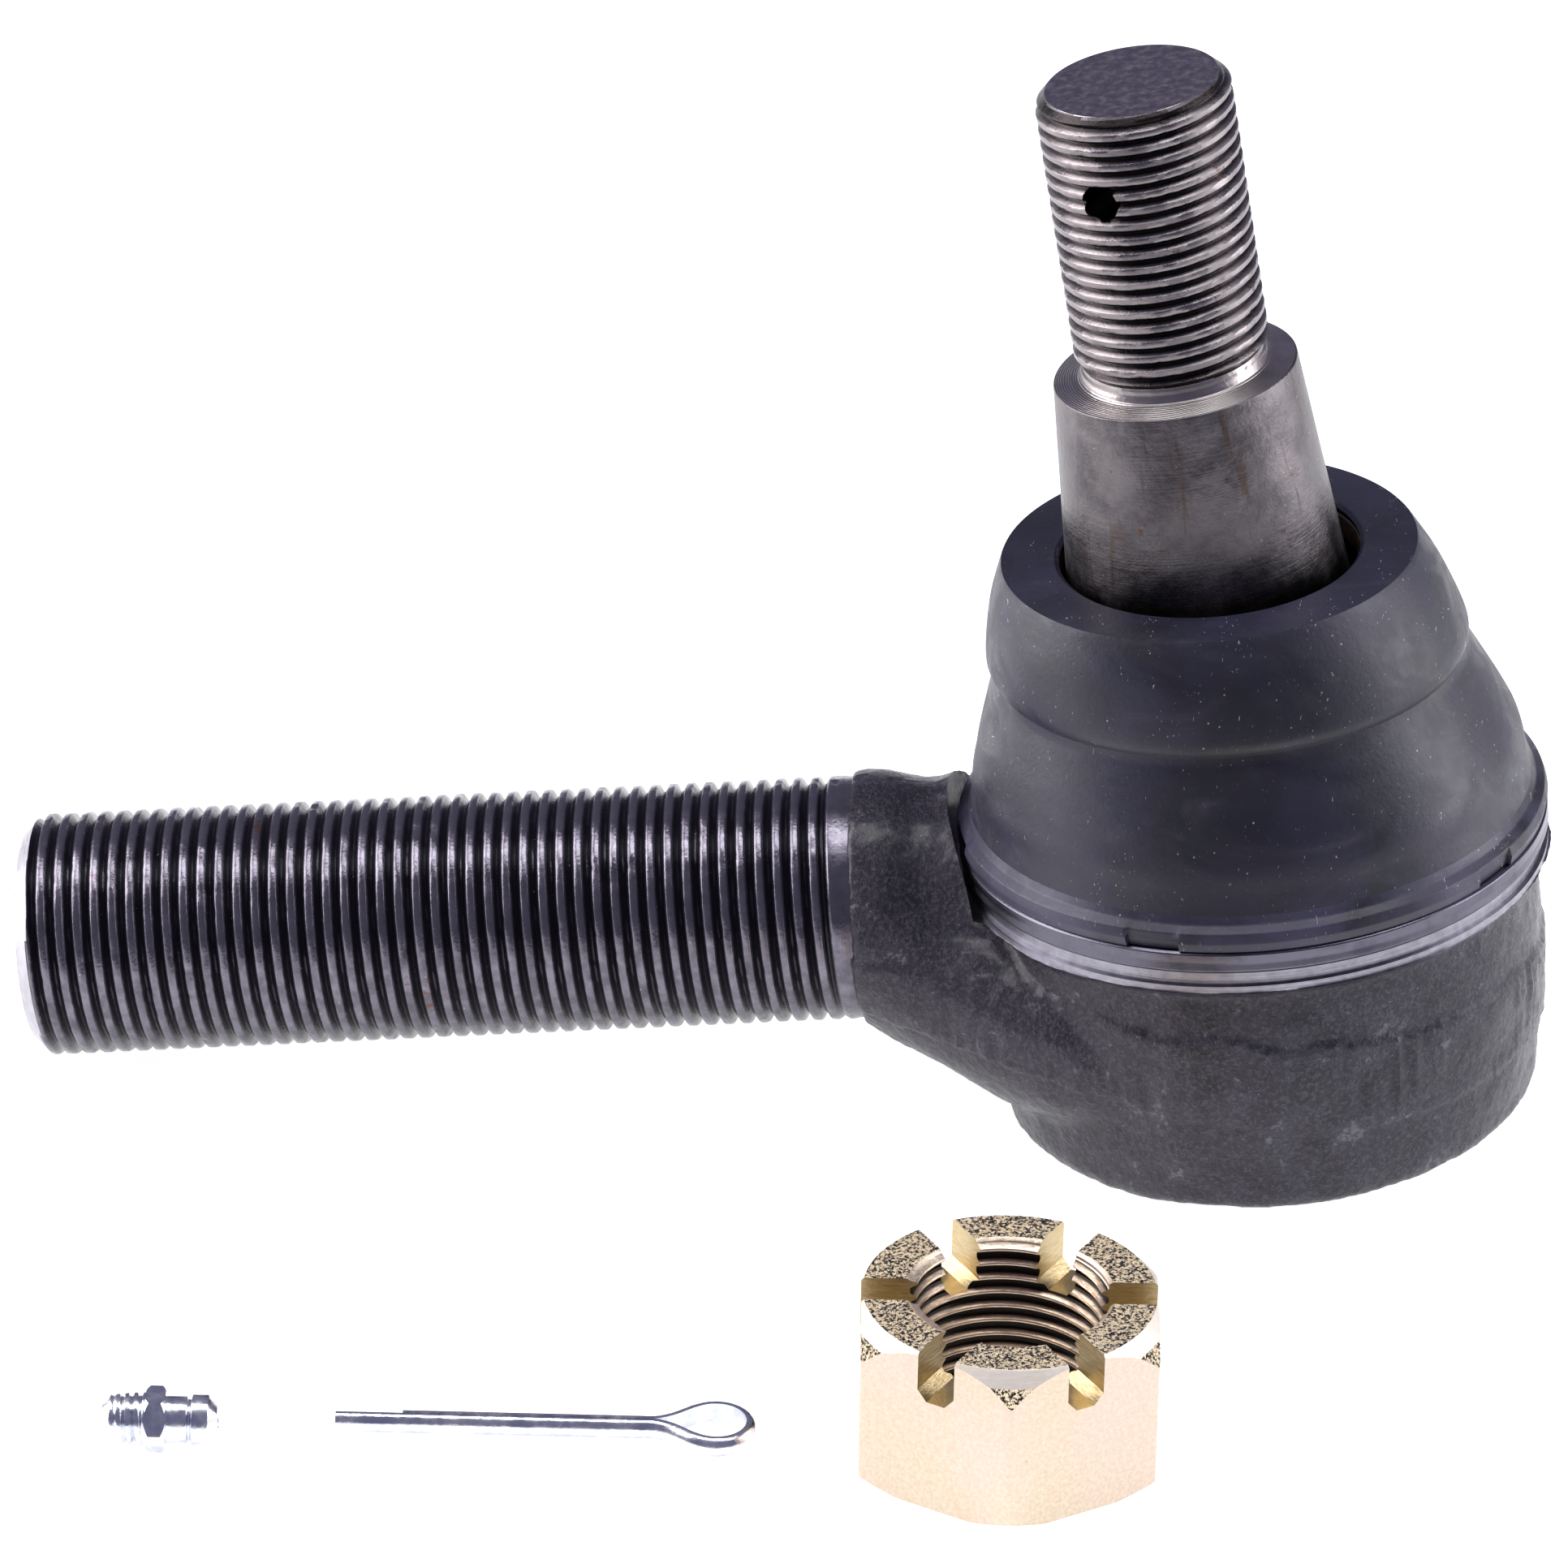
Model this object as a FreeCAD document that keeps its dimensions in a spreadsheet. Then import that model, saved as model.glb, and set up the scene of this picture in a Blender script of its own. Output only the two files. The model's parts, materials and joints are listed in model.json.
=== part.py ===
import FreeCAD, Part
import math
import os
import re

import Sketcher
from FreeCAD import Placement, Rotation, Vector

# Tie rod end with its loose castle nut, cotter pin and grease fitting. Millimetres, +Z up.
# The origin is the centre of the ball. The part lies as it rests on a bench, on the rim of its
# shank's end and the edge of its underside, so the housing axis leans towards the shank by rest_lean.
# Sizes below are in the housing's own axes: z along the housing axis, x away from the shank.

DIMENSIONS = [
    ("rest_lean", 6.2, "housing axis from vertical, towards the shank, degrees"),
    ("stud_tilt", 3.9, "stud axis from the housing axis at rest, degrees"),
    ("shank_height", 6.0, "shank axis above the ball centre"),
    ("shank_reach", 145.0, "ball centre to the end of the shank"),
    ("shank_radius", 14.2875, "1-1/8 inch thread, major radius"),
    ("shank_chamfer", 1.8, ""),
    ("barrel_curve", 66.0, "radius of the forging's barrelled side"),
    ("body_foot_radius", 29.9, "flat underside of the forging"),
    ("body_low_radius", 31.2, ""),
    ("body_top_radius", 32.2, ""),
    ("body_foot", 20.8, "underside below the ball centre"),
    ("body_low", 19.4, ""),
    ("body_shoulder", 8.6, "top of the rough forging"),
    ("collar_radius", 34.1, "turned collar that carries the boot ring"),
    ("collar_bottom", 9.75, ""),
    ("collar_top", 12.2, ""),
    ("collar_clearance", 0.9, "turned away round the boot ring, out of the neck"),
    ("clearance_top", 21.6, ""),
    ("neck_low_reach", 12.0, "section of the neck inside the body"),
    ("neck_low_width", 28.0, "half width"),
    ("neck_low_height", 13.8, "half height"),
    ("neck_low_level", -5.6, "middle, above the ball centre"),
    ("neck_mid_reach", 36.0, "section half way along the neck"),
    ("neck_mid_width", 19.5, ""),
    ("neck_mid_height", 16.6, ""),
    ("neck_mid_level", 2.8, ""),
    ("neck_far_reach", 46.5, "section where the neck meets the shank"),
    ("neck_far_step", 0.5, "neck proud of the shank there"),
    ("ball_radius", 16.0, ""),
    ("seat_radius", 16.06, "spherical seats, a running clearance over the ball"),
    ("bearing_radius", 21.5, "bore that holds both bearings"),
    ("lower_bearing_radius", 21.42, "turns and slides in the bore"),
    ("bearing_top", 9.2, ""),
    ("seat_lip", 7.5, "top edge of the upper seat, above the ball centre"),
    ("grease_hole", 5.0, "hole in the lower bearing"),
    ("bearing_split", 2.0, "lower edge of the upper bearing, below the ball centre"),
    ("bearing_gap", 1.0, "wear gap between the bearings"),
    ("bearing_foot", 16.9, "underside of the lower bearing, below the ball centre"),
    ("mouth_radius", 15.5, "opening that the stud swings in"),
    ("mouth_flare", 17.5, ""),
    ("cover_radius", 24.0, ""),
    ("recess_radius", 24.1, ""),
    ("cover_top", 18.0, ""),
    ("cover_rim", 19.2, ""),
    ("cover_bulge", 23.0, "lowest part of the cover, below the ball centre"),
    ("cover_boss_radius", 4.6, ""),
    ("port_radius", 2.6, "M6 grease port, minor radius"),
    ("port_top", 17.4, ""),
    ("clip_radius", 25.4, ""),
    ("clip_width", 3.8, "across the snap ring's section"),
    ("clip_bottom", 20.2, ""),
    ("clip_turn", 325.0, "degrees that the snap ring goes round"),
    ("seal_ring", 22.9, ""),
    ("seal_section", 0.8, ""),
    ("spring_inner", 8.0, ""),
    ("spring_outer", 19.0, ""),
    ("spring_thickness", 0.7, ""),
    ("touch_gap", 0.05, "between the spring and the bearing that turns over it"),
    ("ring_radius", 34.3, "steel ring at the base of the boot"),
    ("ring_inner", 27.0, ""),
    ("ring_top", 15.0, ""),
    ("boot_rim_radius", 34.2, ""),
    ("boot_rim_top", 17.2, ""),
    ("boot_ledge_radius", 32.6, "foot of the bell, above the rim's flange"),
    ("boot_ledge_height", 19.0, ""),
    ("boot_skirt_radius", 31.9, ""),
    ("boot_skirt_height", 24.5, ""),
    ("boot_crease_radius", 27.0, ""),
    ("boot_crease_height", 36.0, ""),
    ("boot_bulge_radius", 28.0, ""),
    ("boot_bulge_height", 38.5, ""),
    ("boot_top_radius", 23.8, ""),
    ("boot_top_height", 49.3, ""),
    ("boot_lean", 2.67, "centre of the boot's top, towards the shank"),
    ("crease_share", 0.45, "share of that lean at the crease"),
    ("bulge_share", 0.6, "share of it at the bulge"),
    ("boot_wall", 2.6, ""),
    ("boot_hole_radius", 17.3, ""),
    ("lip_outer", 19.5, "steel ring moulded under the boot's top"),
    ("lip_bottom", 45.3, ""),
    ("lip_top", 48.3, ""),
    ("lip_gap", 0.2, ""),
    ("stud_neck_radius", 9.5, ""),
    ("stud_neck_top", 32.0, ""),
    ("taper_start", 44.0, "large end of the taper, from the ball centre"),
    ("taper_end", 72.7, "small end of the taper"),
    ("taper_end_radius", 13.95, ""),
    ("taper_rate", 6.0, "one in six on diameter"),
    ("relief_radius", 10.0, ""),
    ("relief_top", 75.6, ""),
    ("stud_thread_radius", 11.1125, "7/8 inch thread, major radius"),
    ("stud_top", 107.9, ""),
    ("stud_chamfer", 1.3, ""),
    ("cotter_height", 97.75, "cross hole above the ball centre, along the stud"),
    ("cotter_turn", 25.0, "cross hole's mouth, degrees from the front towards the shank"),
    ("cotter_hole_radius", 2.2, ""),
    ("nut_flats", 32.6, "1-5/16 inch nominal, within its tolerance"),
    ("nut_depth", 19.5, ""),
    ("nut_bore", 10.35, "7/8 inch thread, minor radius"),
    ("nut_crown_radius", 16.15, "flat top inside the chamfer"),
    ("nut_chamfer", 3.6, "height of the chamfer under the crown"),
    ("nut_foot_chamfer", 1.2, ""),
    ("slot_width", 4.5, ""),
    ("slot_depth", 6.1, ""),
    ("pin_radius", 1.25, "closed cotter pin"),
    ("pin_long_leg", 36.4, ""),
    ("pin_short_leg", 29.0, ""),
    ("pin_seam", 0.02, "half the gap between the legs"),
    ("eye_start", 1.2, "where the legs part, back from the pin's origin"),
    ("eye_reach", 9.0, "far side of the eye from the pin's origin, inside"),
    ("eye_radius", 3.37, "inside of the eye's round end"),
    ("fitting_thread_radius", 3.0, "M6 thread, major radius"),
    ("fitting_thread_length", 4.8, ""),
    ("fitting_hex_flats", 6.4, ""),
    ("fitting_hex_length", 2.2, ""),
    ("fitting_neck_radius", 2.65, ""),
    ("fitting_groove_radius", 2.4, ""),
    ("fitting_head_radius", 2.89, ""),
    ("fitting_head_length", 2.9, ""),
    ("fitting_length", 12.7, ""),
    ("fitting_bore", 1.3, ""),
    ("check_ball_radius", 1.1, ""),
    ("check_coil_length", 5.0, "spring that holds the check ball shut"),
    ("check_coil_radius", 0.8, ""),
    ("check_wire_radius", 0.18, ""),
    ("check_ball_depth", 1.36, "centre of the check ball below the fitting's end"),
    ("nut_x", -25.5, "where the loose pieces lie on the bench"),
    ("nut_y", -78.0, ""),
    ("nut_turn", 3.5, "degrees, counter-clockwise from above"),
    ("pin_x", -63.0, ""),
    ("pin_y", -80.7, ""),
    ("pin_turn", 3.0, ""),
    ("fitting_x", -124.5, ""),
    ("fitting_y", -87.7, ""),
    ("fitting_turn", 3.0, ""),
]

doc = FreeCAD.newDocument("tie_rod_end")
sheet = doc.addObject("Spreadsheet::Sheet", "Dims")
for row, (alias, value, note) in enumerate(DIMENSIONS, start=1):
    sheet.set(f"A{row}", alias)
    sheet.set(f"B{row}", str(value))
    sheet.set(f"C{row}", note)
    sheet.setAlias(f"B{row}", alias)
doc.recompute()

DIM = {alias: value for alias, value, note in DIMENSIONS}
LEAN = Placement(Vector(0, 0, 0), Rotation(Vector(0, 1, 0), -DIM["rest_lean"]))
TILT = Placement(Vector(0, 0, 0), Rotation(Vector(0, 1, 0), -DIM["stud_tilt"]))


def bench_height():
    """The bench's z: the part leans until its shank's rim and the edge of its foot both touch."""
    lean = math.radians(DIM["rest_lean"])
    shank_rim = (DIM["shank_chamfer"] - DIM["shank_reach"], DIM["shank_height"] - DIM["shank_radius"])
    foot_edge = (-DIM["body_foot_radius"], -DIM["body_foot"])
    return min(x * math.sin(lean) + z * math.cos(lean) for x, z in (shank_rim, foot_edge))


BENCH = bench_height()
SUBPARTS = {}


def keep(label, thing, placement):
    """Names a finished sub-part and puts it in its place."""
    thing.Label = label
    thing.Placement = placement
    SUBPARTS[label] = thing
    return thing


def expression(text):
    """Writes a size given in aliases as an expression on the sheet."""
    return re.sub(r"[a-z_]+", lambda m: f"Dims.{m[0]}" if m[0] in DIM else m[0], text)


def number(text):
    """The value of a size given in aliases."""
    return float(sheet.evalExpression(expression(text)))


def bind(thing, **sizes):
    """Binds properties of an object to sizes given in aliases."""
    for name, text in sizes.items():
        thing.setExpression(name, expression(text))
    return thing


def origin_plane(body, role):
    return next(f for f in body.Origin.OriginFeatures if f.Role == role)


def profile(body, name, points):
    """A closed outline in the XZ plane. A point is (r, z), or (r, z, radius) when an arc of that
    radius leads to the next point, bulging away from the axis, or inwards when it has a minus.
    An arc about the ball's centre keeps its centre there, so each of its ends has one size."""
    sketch = body.newObject("Sketcher::SketchObject", name)
    sketch.AttachmentSupport = (origin_plane(body, "XZ_Plane"), [""])
    sketch.MapMode = "FlatFace"
    spots = [Vector(number(p[0]), number(p[1]), 0) for p in points]
    count = len(points)
    for i, point in enumerate(points):
        start, end = spots[i], spots[(i + 1) % count]
        if len(point) == 2:
            sketch.addGeometry(Part.LineSegment(start, end), False)
            continue
        radius = number(point[2].lstrip("-"))
        chord = end - start
        middle = (start + end) * 0.5
        side = Vector(-chord.y, chord.x, 0).normalize()
        outward = side if side.x > 0 else side * -1
        if point[2].startswith("-"):
            outward = outward * -1
        sagitta = radius - math.sqrt(radius**2 - (chord.Length / 2) ** 2)
        crown = middle + outward * sagitta
        counter_clockwise = (crown - start).cross(end - start).z > 0
        first, last = (start, end) if counter_clockwise else (end, start)
        sketch.addGeometry(Part.Arc(first, crown, last), False)
    pairs, balls = [], set()
    for i, geometry in enumerate(sketch.Geometry):
        forward = (geometry.StartPoint - spots[i]).Length < 1e-6
        pairs.append((1, 2) if forward else (2, 1))
        if len(points[i]) == 3 and geometry.Center.Length < 1e-6:
            sketch.addConstraint(Sketcher.Constraint("Coincident", i, 3, -1, 1))
            balls.update((i, (i + 1) % count))
    for i, point in enumerate(points):
        follower = (i + 1) % count
        sketch.addConstraint(
            Sketcher.Constraint("Coincident", i, pairs[i][1], follower, pairs[follower][0])
        )
        sizes = [("DistanceX", point[0], spots[i].x), ("DistanceY", point[1], spots[i].y)]
        if i in balls:
            on_axis = abs(spots[i].x) < 1e-6
            sizes = sizes[:1] if on_axis else sizes[1:]
        for kind, text, value in sizes:
            index = sketch.addConstraint(Sketcher.Constraint(kind, i, pairs[i][0], value))
            sketch.setExpression(f"Constraints[{index}]", expression(text))
        if len(point) == 3:
            radius_text = point[2].lstrip("-")
            index = sketch.addConstraint(Sketcher.Constraint("Radius", i, number(radius_text)))
            sketch.setExpression(f"Constraints[{index}]", expression(radius_text))
    return sketch


def turned(name, points, angle=360.0):
    """A body turned about the z axis from a profile."""
    body = doc.addObject("PartDesign::Body", name)
    sketch = profile(body, name + "_profile", points)
    turn = body.newObject("PartDesign::Revolution", name + "_turn")
    turn.Profile = sketch
    turn.ReferenceAxis = (sketch, ["V_Axis"])
    turn.Angle = angle
    doc.recompute()
    return body


def cylinder(name, radius, height, placement=Placement()):
    made = bind(doc.addObject("Part::Cylinder", name), Radius=radius, Height=height)
    made.Placement = placement
    return made


def cut(name, base, tool):
    made = doc.addObject("Part::Cut", name)
    made.Base = base
    made.Tool = tool
    return made


def fuse(name, things):
    made = doc.addObject("Part::MultiFuse", name)
    made.Shapes = things
    return made


def loft(name, sections, ruled=False):
    made = doc.addObject("Part::Loft", name)
    made.Sections = sections
    made.Solid = True
    made.Ruled = ruled
    return made


# ---------------------------------------------------------------- forged housing and threaded shank

ACROSS = Rotation(Vector(0, 1, 0), -90)


def neck_section(name, reach, half_width, half_height, level):
    """An elliptical section of the neck, across the shank: its width along y and its height along z."""
    section = bind(doc.addObject("Part::Ellipse", name), MajorRadius=half_width, MinorRadius=half_height)
    facing = Rotation(Vector(0, 1, 0), Vector(0, 0, 1), Vector(1, 0, 0), "ZXY")
    section.Placement = Placement(Vector(-number(reach), 0, number(level)), facing)
    return section


def make_housing():
    outside = turned(
        "forging",
        [
            ("0", "-body_foot"),
            ("body_foot_radius", "-body_foot"),
            ("body_low_radius", "-body_low", "barrel_curve"),
            ("body_top_radius", "body_shoulder"),
            ("collar_radius", "collar_bottom"),
            ("collar_radius", "collar_top"),
            ("0", "collar_top"),
        ],
    )
    shoulder = "shank_radius + neck_far_step"
    sections = [
        neck_section("neck_inner", "neck_low_reach", "neck_low_width", "neck_low_height", "neck_low_level"),
        neck_section("neck_middle", "neck_mid_reach", "neck_mid_width", "neck_mid_height", "neck_mid_level"),
        neck_section("neck_outer", "neck_far_reach", shoulder, shoulder + " - 0.01", "shank_height"),
    ]
    neck = loft("neck", sections)
    plug = doc.addObject("Part::Cone", "shank_tip")
    bind(plug, Radius1="shank_radius", Radius2="shank_radius - shank_chamfer", Height="shank_chamfer")
    plug.Placement = Placement(
        Vector(DIM["shank_chamfer"] - DIM["shank_reach"], 0, DIM["shank_height"]), ACROSS
    )
    shank = cylinder(
        "shank",
        "shank_radius",
        "shank_reach - shank_chamfer - neck_far_reach + 1",
        Placement(Vector(1 - DIM["neck_far_reach"], 0, DIM["shank_height"]), ACROSS),
    )
    solid = fuse("forging_and_shank", [outside, neck, shank, plug])
    around_collar = turned(
        "around_collar",
        [
            ("0", "collar_top"),
            ("collar_radius", "collar_top"),
            ("collar_radius", "collar_bottom"),
            ("collar_radius + collar_clearance", "collar_bottom"),
            ("collar_radius + collar_clearance", "clearance_top"),
            ("0", "clearance_top"),
        ],
    )
    cavity = turned(
        "cavity",
        [
            ("0", "-body_foot - 1"),
            ("recess_radius", "-body_foot - 1"),
            ("recess_radius", "-clip_bottom"),
            ("clip_radius", "-clip_bottom"),
            ("clip_radius", "-cover_rim"),
            ("recess_radius", "-cover_rim"),
            ("recess_radius", "-cover_top"),
            ("seal_ring + seal_section", "-cover_top"),
            ("seal_ring + seal_section", "-cover_top + 2 * seal_section"),
            ("seal_ring - seal_section", "-cover_top + 2 * seal_section"),
            ("seal_ring - seal_section", "-cover_top"),
            ("bearing_radius", "-cover_top"),
            ("bearing_radius", "bearing_top"),
            ("mouth_radius", "bearing_top"),
            ("mouth_radius", "bearing_top + 1"),
            ("mouth_flare", "collar_top + 1"),
            ("0", "collar_top + 1"),
        ],
    )
    keep("socket_housing", cut("housing", cut("trimmed", solid, around_collar), cavity), LEAN)


# ---------------------------------------------------------------- what the housing holds


def make_bearings():
    upper = turned(
        "upper_seat",
        [
            ("sqrt(seat_radius ^ 2 - bearing_split ^ 2)", "-bearing_split"),
            ("bearing_radius", "-bearing_split"),
            ("bearing_radius", "bearing_top"),
            ("mouth_radius", "bearing_top"),
            ("sqrt(seat_radius ^ 2 - seat_lip ^ 2)", "seat_lip", "seat_radius"),
        ],
    )
    keep("upper_bearing", upper, LEAN)
    lower = turned(
        "lower_seat",
        [
            ("grease_hole", "-bearing_foot"),
            ("lower_bearing_radius", "-bearing_foot"),
            ("lower_bearing_radius", "-bearing_split - bearing_gap"),
            (
                "sqrt(seat_radius ^ 2 - (bearing_split + bearing_gap) ^ 2)",
                "-bearing_split - bearing_gap",
                "seat_radius",
            ),
            ("grease_hole", "-sqrt(seat_radius ^ 2 - grease_hole ^ 2)"),
        ],
    )
    keep("lower_bearing", lower, LEAN)


def make_spring():
    spring = turned(
        "disc_spring",
        [
            ("spring_inner", "-bearing_foot - touch_gap"),
            ("spring_inner", "-bearing_foot - touch_gap - spring_thickness"),
            ("spring_outer", "-cover_top"),
            ("spring_outer", "-cover_top + spring_thickness"),
        ],
    )
    keep("preload_spring", spring, LEAN)


def make_cover():
    cover = turned(
        "cover",
        [
            ("port_radius", "-port_top"),
            ("port_radius", "-cover_bulge"),
            ("port_radius + 2.5", "-cover_bulge", "50"),
            ("cover_radius - 3.2", "-cover_rim"),
            ("cover_radius", "-cover_rim"),
            ("cover_radius", "-cover_top"),
            ("spring_outer - 2", "-cover_top"),
            ("cover_boss_radius", "-cover_rim - 0.2"),
            ("cover_boss_radius", "-port_top"),
        ],
    )
    keep("end_cover", cover, LEAN)
    clip = turned(
        "clip",
        [
            ("clip_radius - clip_width", "-clip_bottom"),
            ("clip_radius", "-clip_bottom"),
            ("clip_radius", "-cover_rim"),
            ("clip_radius - clip_width", "-cover_rim"),
        ],
        angle=DIM["clip_turn"],
    )
    keep("cover_snap_ring", clip, LEAN)
    seal = bind(doc.addObject("Part::Torus", "seal"), Radius1="seal_ring", Radius2="seal_section")
    seal_level = -DIM["cover_top"] + DIM["seal_section"]
    keep("cover_seal_ring", seal, LEAN.multiply(Placement(Vector(0, 0, seal_level), Rotation())))


# ---------------------------------------------------------------- boot


def make_boot_rings():
    ring = turned(
        "base_ring",
        [
            ("ring_inner", "collar_top"),
            ("ring_radius", "collar_top"),
            ("ring_radius", "ring_top"),
            ("ring_inner", "ring_top"),
        ],
    )
    keep("boot_base_ring", ring, LEAN)
    lip = turned(
        "lip_ring",
        [
            ("boot_hole_radius", "lip_bottom"),
            ("lip_outer", "lip_bottom"),
            ("lip_outer", "lip_top"),
            ("boot_hole_radius", "lip_top"),
        ],
    )
    keep("boot_lip_ring", lip, LEAN.multiply(Placement(Vector(-DIM["boot_lean"], 0, 0), Rotation())))


def boot_circle(name, radius, height, offset):
    circle = bind(doc.addObject("Part::Circle", name), Radius=radius)
    circle.Placement = Placement(Vector(-number(offset), 0, number(height)), Rotation())
    return circle


def boot_shell(name, rows):
    circles = [boot_circle(f"{name}_{i}", *row) for i, row in enumerate(rows)]
    return loft(name, circles, ruled=True)


def make_boot():
    """The rubber boot: a shell that leans a little towards the shank, with a thick top."""
    outside = boot_shell(
        "boot_outside",
        [
            ("boot_rim_radius", "ring_top", "0"),
            ("boot_rim_radius", "boot_rim_top", "0"),
            ("boot_ledge_radius", "boot_ledge_height", "0"),
            ("boot_skirt_radius", "boot_skirt_height", "0"),
            ("boot_crease_radius", "boot_crease_height", "boot_lean * crease_share"),
            ("boot_bulge_radius", "boot_bulge_height", "boot_lean * bulge_share"),
            ("boot_top_radius", "boot_top_height", "boot_lean"),
        ],
    )
    inside = boot_shell(
        "boot_inside",
        [
            ("ring_inner + 1", "ring_top - 1", "0"),
            ("ring_inner + 1", "boot_rim_top", "0"),
            ("boot_skirt_radius - boot_wall", "boot_skirt_height", "0"),
            ("boot_crease_radius - boot_wall", "boot_crease_height", "boot_lean * crease_share"),
            ("lip_outer + lip_gap", "lip_bottom - 1", "boot_lean"),
            ("lip_outer + lip_gap", "lip_top + lip_gap", "boot_lean"),
        ],
    )
    hole = cylinder(
        "boot_hole",
        "boot_hole_radius",
        "boot_top_height",
        Placement(Vector(-DIM["boot_lean"], 0, DIM["lip_bottom"]), Rotation()),
    )
    keep("dust_boot", cut("boot", cut("boot_hollow", outside, inside), hole), LEAN)


# ---------------------------------------------------------------- ball stud


def make_stud():
    blank = turned(
        "stud_blank",
        [
            ("0", "-ball_radius", "ball_radius"),
            ("stud_neck_radius", "sqrt(ball_radius ^ 2 - stud_neck_radius ^ 2)"),
            ("stud_neck_radius", "stud_neck_top"),
            ("taper_end_radius + 1.4", "taper_start - 1.8"),
            ("taper_end_radius + (taper_end - taper_start) / (2 * taper_rate)", "taper_start"),
            ("taper_end_radius", "taper_end"),
            ("relief_radius", "taper_end"),
            ("relief_radius", "relief_top - 1"),
            ("stud_thread_radius", "relief_top"),
            ("stud_thread_radius", "stud_top - stud_chamfer"),
            ("stud_thread_radius - stud_chamfer", "stud_top"),
            ("0", "stud_top"),
        ],
    )
    along_hole = Rotation(Vector(0, 0, 1), -DIM["cotter_turn"]).multiply(Rotation(Vector(1, 0, 0), 90))
    through = along_hole.multVec(Vector(0, 0, -20))
    drill = cylinder(
        "cotter_drill",
        "cotter_hole_radius",
        "40",
        Placement(through + Vector(0, 0, DIM["cotter_height"]), along_hole),
    )
    keep("ball_stud", cut("stud", blank, drill), LEAN.multiply(TILT))


# ---------------------------------------------------------------- loose nut, cotter pin and grease fitting


def on_bench(name, height, turn=0.0):
    """Where a loose piece lies: its own spot and turn, at a height above the bench."""
    spin = Rotation(Vector(0, 0, 1), DIM[f"{name}_turn"] + turn)
    return Placement(Vector(DIM[f"{name}_x"], DIM[f"{name}_y"], BENCH + height), spin)


def make_nut():
    """A hexagon with a chamfered crown, a bore and three slots right across, which makes six."""
    hexagon = doc.addObject("Part::Prism", "nut_hexagon")
    hexagon.Polygon = 6
    bind(hexagon, Circumradius="nut_flats / sqrt(3)", Height="nut_depth")
    envelope = turned(
        "nut_envelope",
        [
            ("0", "0"),
            ("nut_flats / sqrt(3) - nut_foot_chamfer", "0"),
            ("nut_flats / sqrt(3) + 0.2", "nut_foot_chamfer"),
            ("nut_flats / sqrt(3) + 0.2", "nut_depth - nut_chamfer"),
            ("nut_crown_radius", "nut_depth"),
            ("0", "nut_depth"),
        ],
    )
    crowned = doc.addObject("Part::Common", "nut_crowned")
    crowned.Base = hexagon
    crowned.Tool = envelope
    slots = []
    for turn in (30, 90, 150):
        slot = bind(
            doc.addObject("Part::Box", f"nut_slot_{turn}"),
            Length="nut_flats * 2",
            Width="slot_width",
            Height="slot_depth + 1",
        )
        corner = Vector(-DIM["nut_flats"], -DIM["slot_width"] / 2, 0)
        spin = Rotation(Vector(0, 0, 1), turn)
        level = Vector(0, 0, DIM["nut_depth"] - DIM["slot_depth"])
        slot.Placement = Placement(spin.multVec(corner) + level, spin)
        slots.append(slot)
    bore = cylinder("nut_bore_tool", "nut_bore", "nut_depth + 2", Placement(Vector(0, 0, -1), Rotation()))
    nut = cut("nut", crowned, fuse("nut_cuts", [bore, *slots]))
    keep("castle_nut", nut, on_bench("nut", 0, 30))


def half_round(radius, middle, along, outward):
    """A half disc, flat side on the path, round side outwards."""
    up = along.cross(outward)
    low, high = middle - up * radius, middle + up * radius
    arc = Part.Arc(low, middle + outward * radius, high).toShape()
    return Part.Wire([arc, Part.LineSegment(high, low).toShape()])


def make_cotter_pin():
    """Half-round wire folded on itself: two legs flat to flat, and an eye with a round end."""
    radius = DIM["pin_radius"]
    seam = DIM["pin_seam"]
    eye = DIM["eye_radius"]
    centre = Vector(DIM["eye_reach"] - eye, 0, 0)
    start = Vector(-DIM["eye_start"], seam, 0)
    reach = (start - centre).Length
    bearing = math.atan2(start.y - centre.y, start.x - centre.x)
    touch = bearing - math.acos(eye / reach)
    upper = centre + Vector(math.cos(touch), math.sin(touch), 0) * eye
    lower = Vector(upper.x, -upper.y, 0)
    path = Part.Wire(
        [
            Part.LineSegment(Vector(-DIM["pin_short_leg"], seam, 0), start).toShape(),
            Part.LineSegment(start, upper).toShape(),
            Part.Arc(upper, centre + Vector(eye, 0, 0), lower).toShape(),
            Part.LineSegment(lower, Vector(start.x, -seam, 0)).toShape(),
            Part.LineSegment(Vector(start.x, -seam, 0), Vector(-DIM["pin_long_leg"], -seam, 0)).toShape(),
        ]
    )
    section = half_round(radius, Vector(-DIM["pin_short_leg"], seam, 0), Vector(1, 0, 0), Vector(0, 1, 0))
    sweep = Part.BRepOffsetAPI.MakePipeShell(path)
    sweep.setTransitionMode(1)
    sweep.add(section)
    sweep.build()
    sweep.makeSolid()
    pin = doc.addObject("Part::Feature", "pin")
    pin.Shape = sweep.shape()
    keep("cotter_pin", pin, on_bench("pin", radius))


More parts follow.
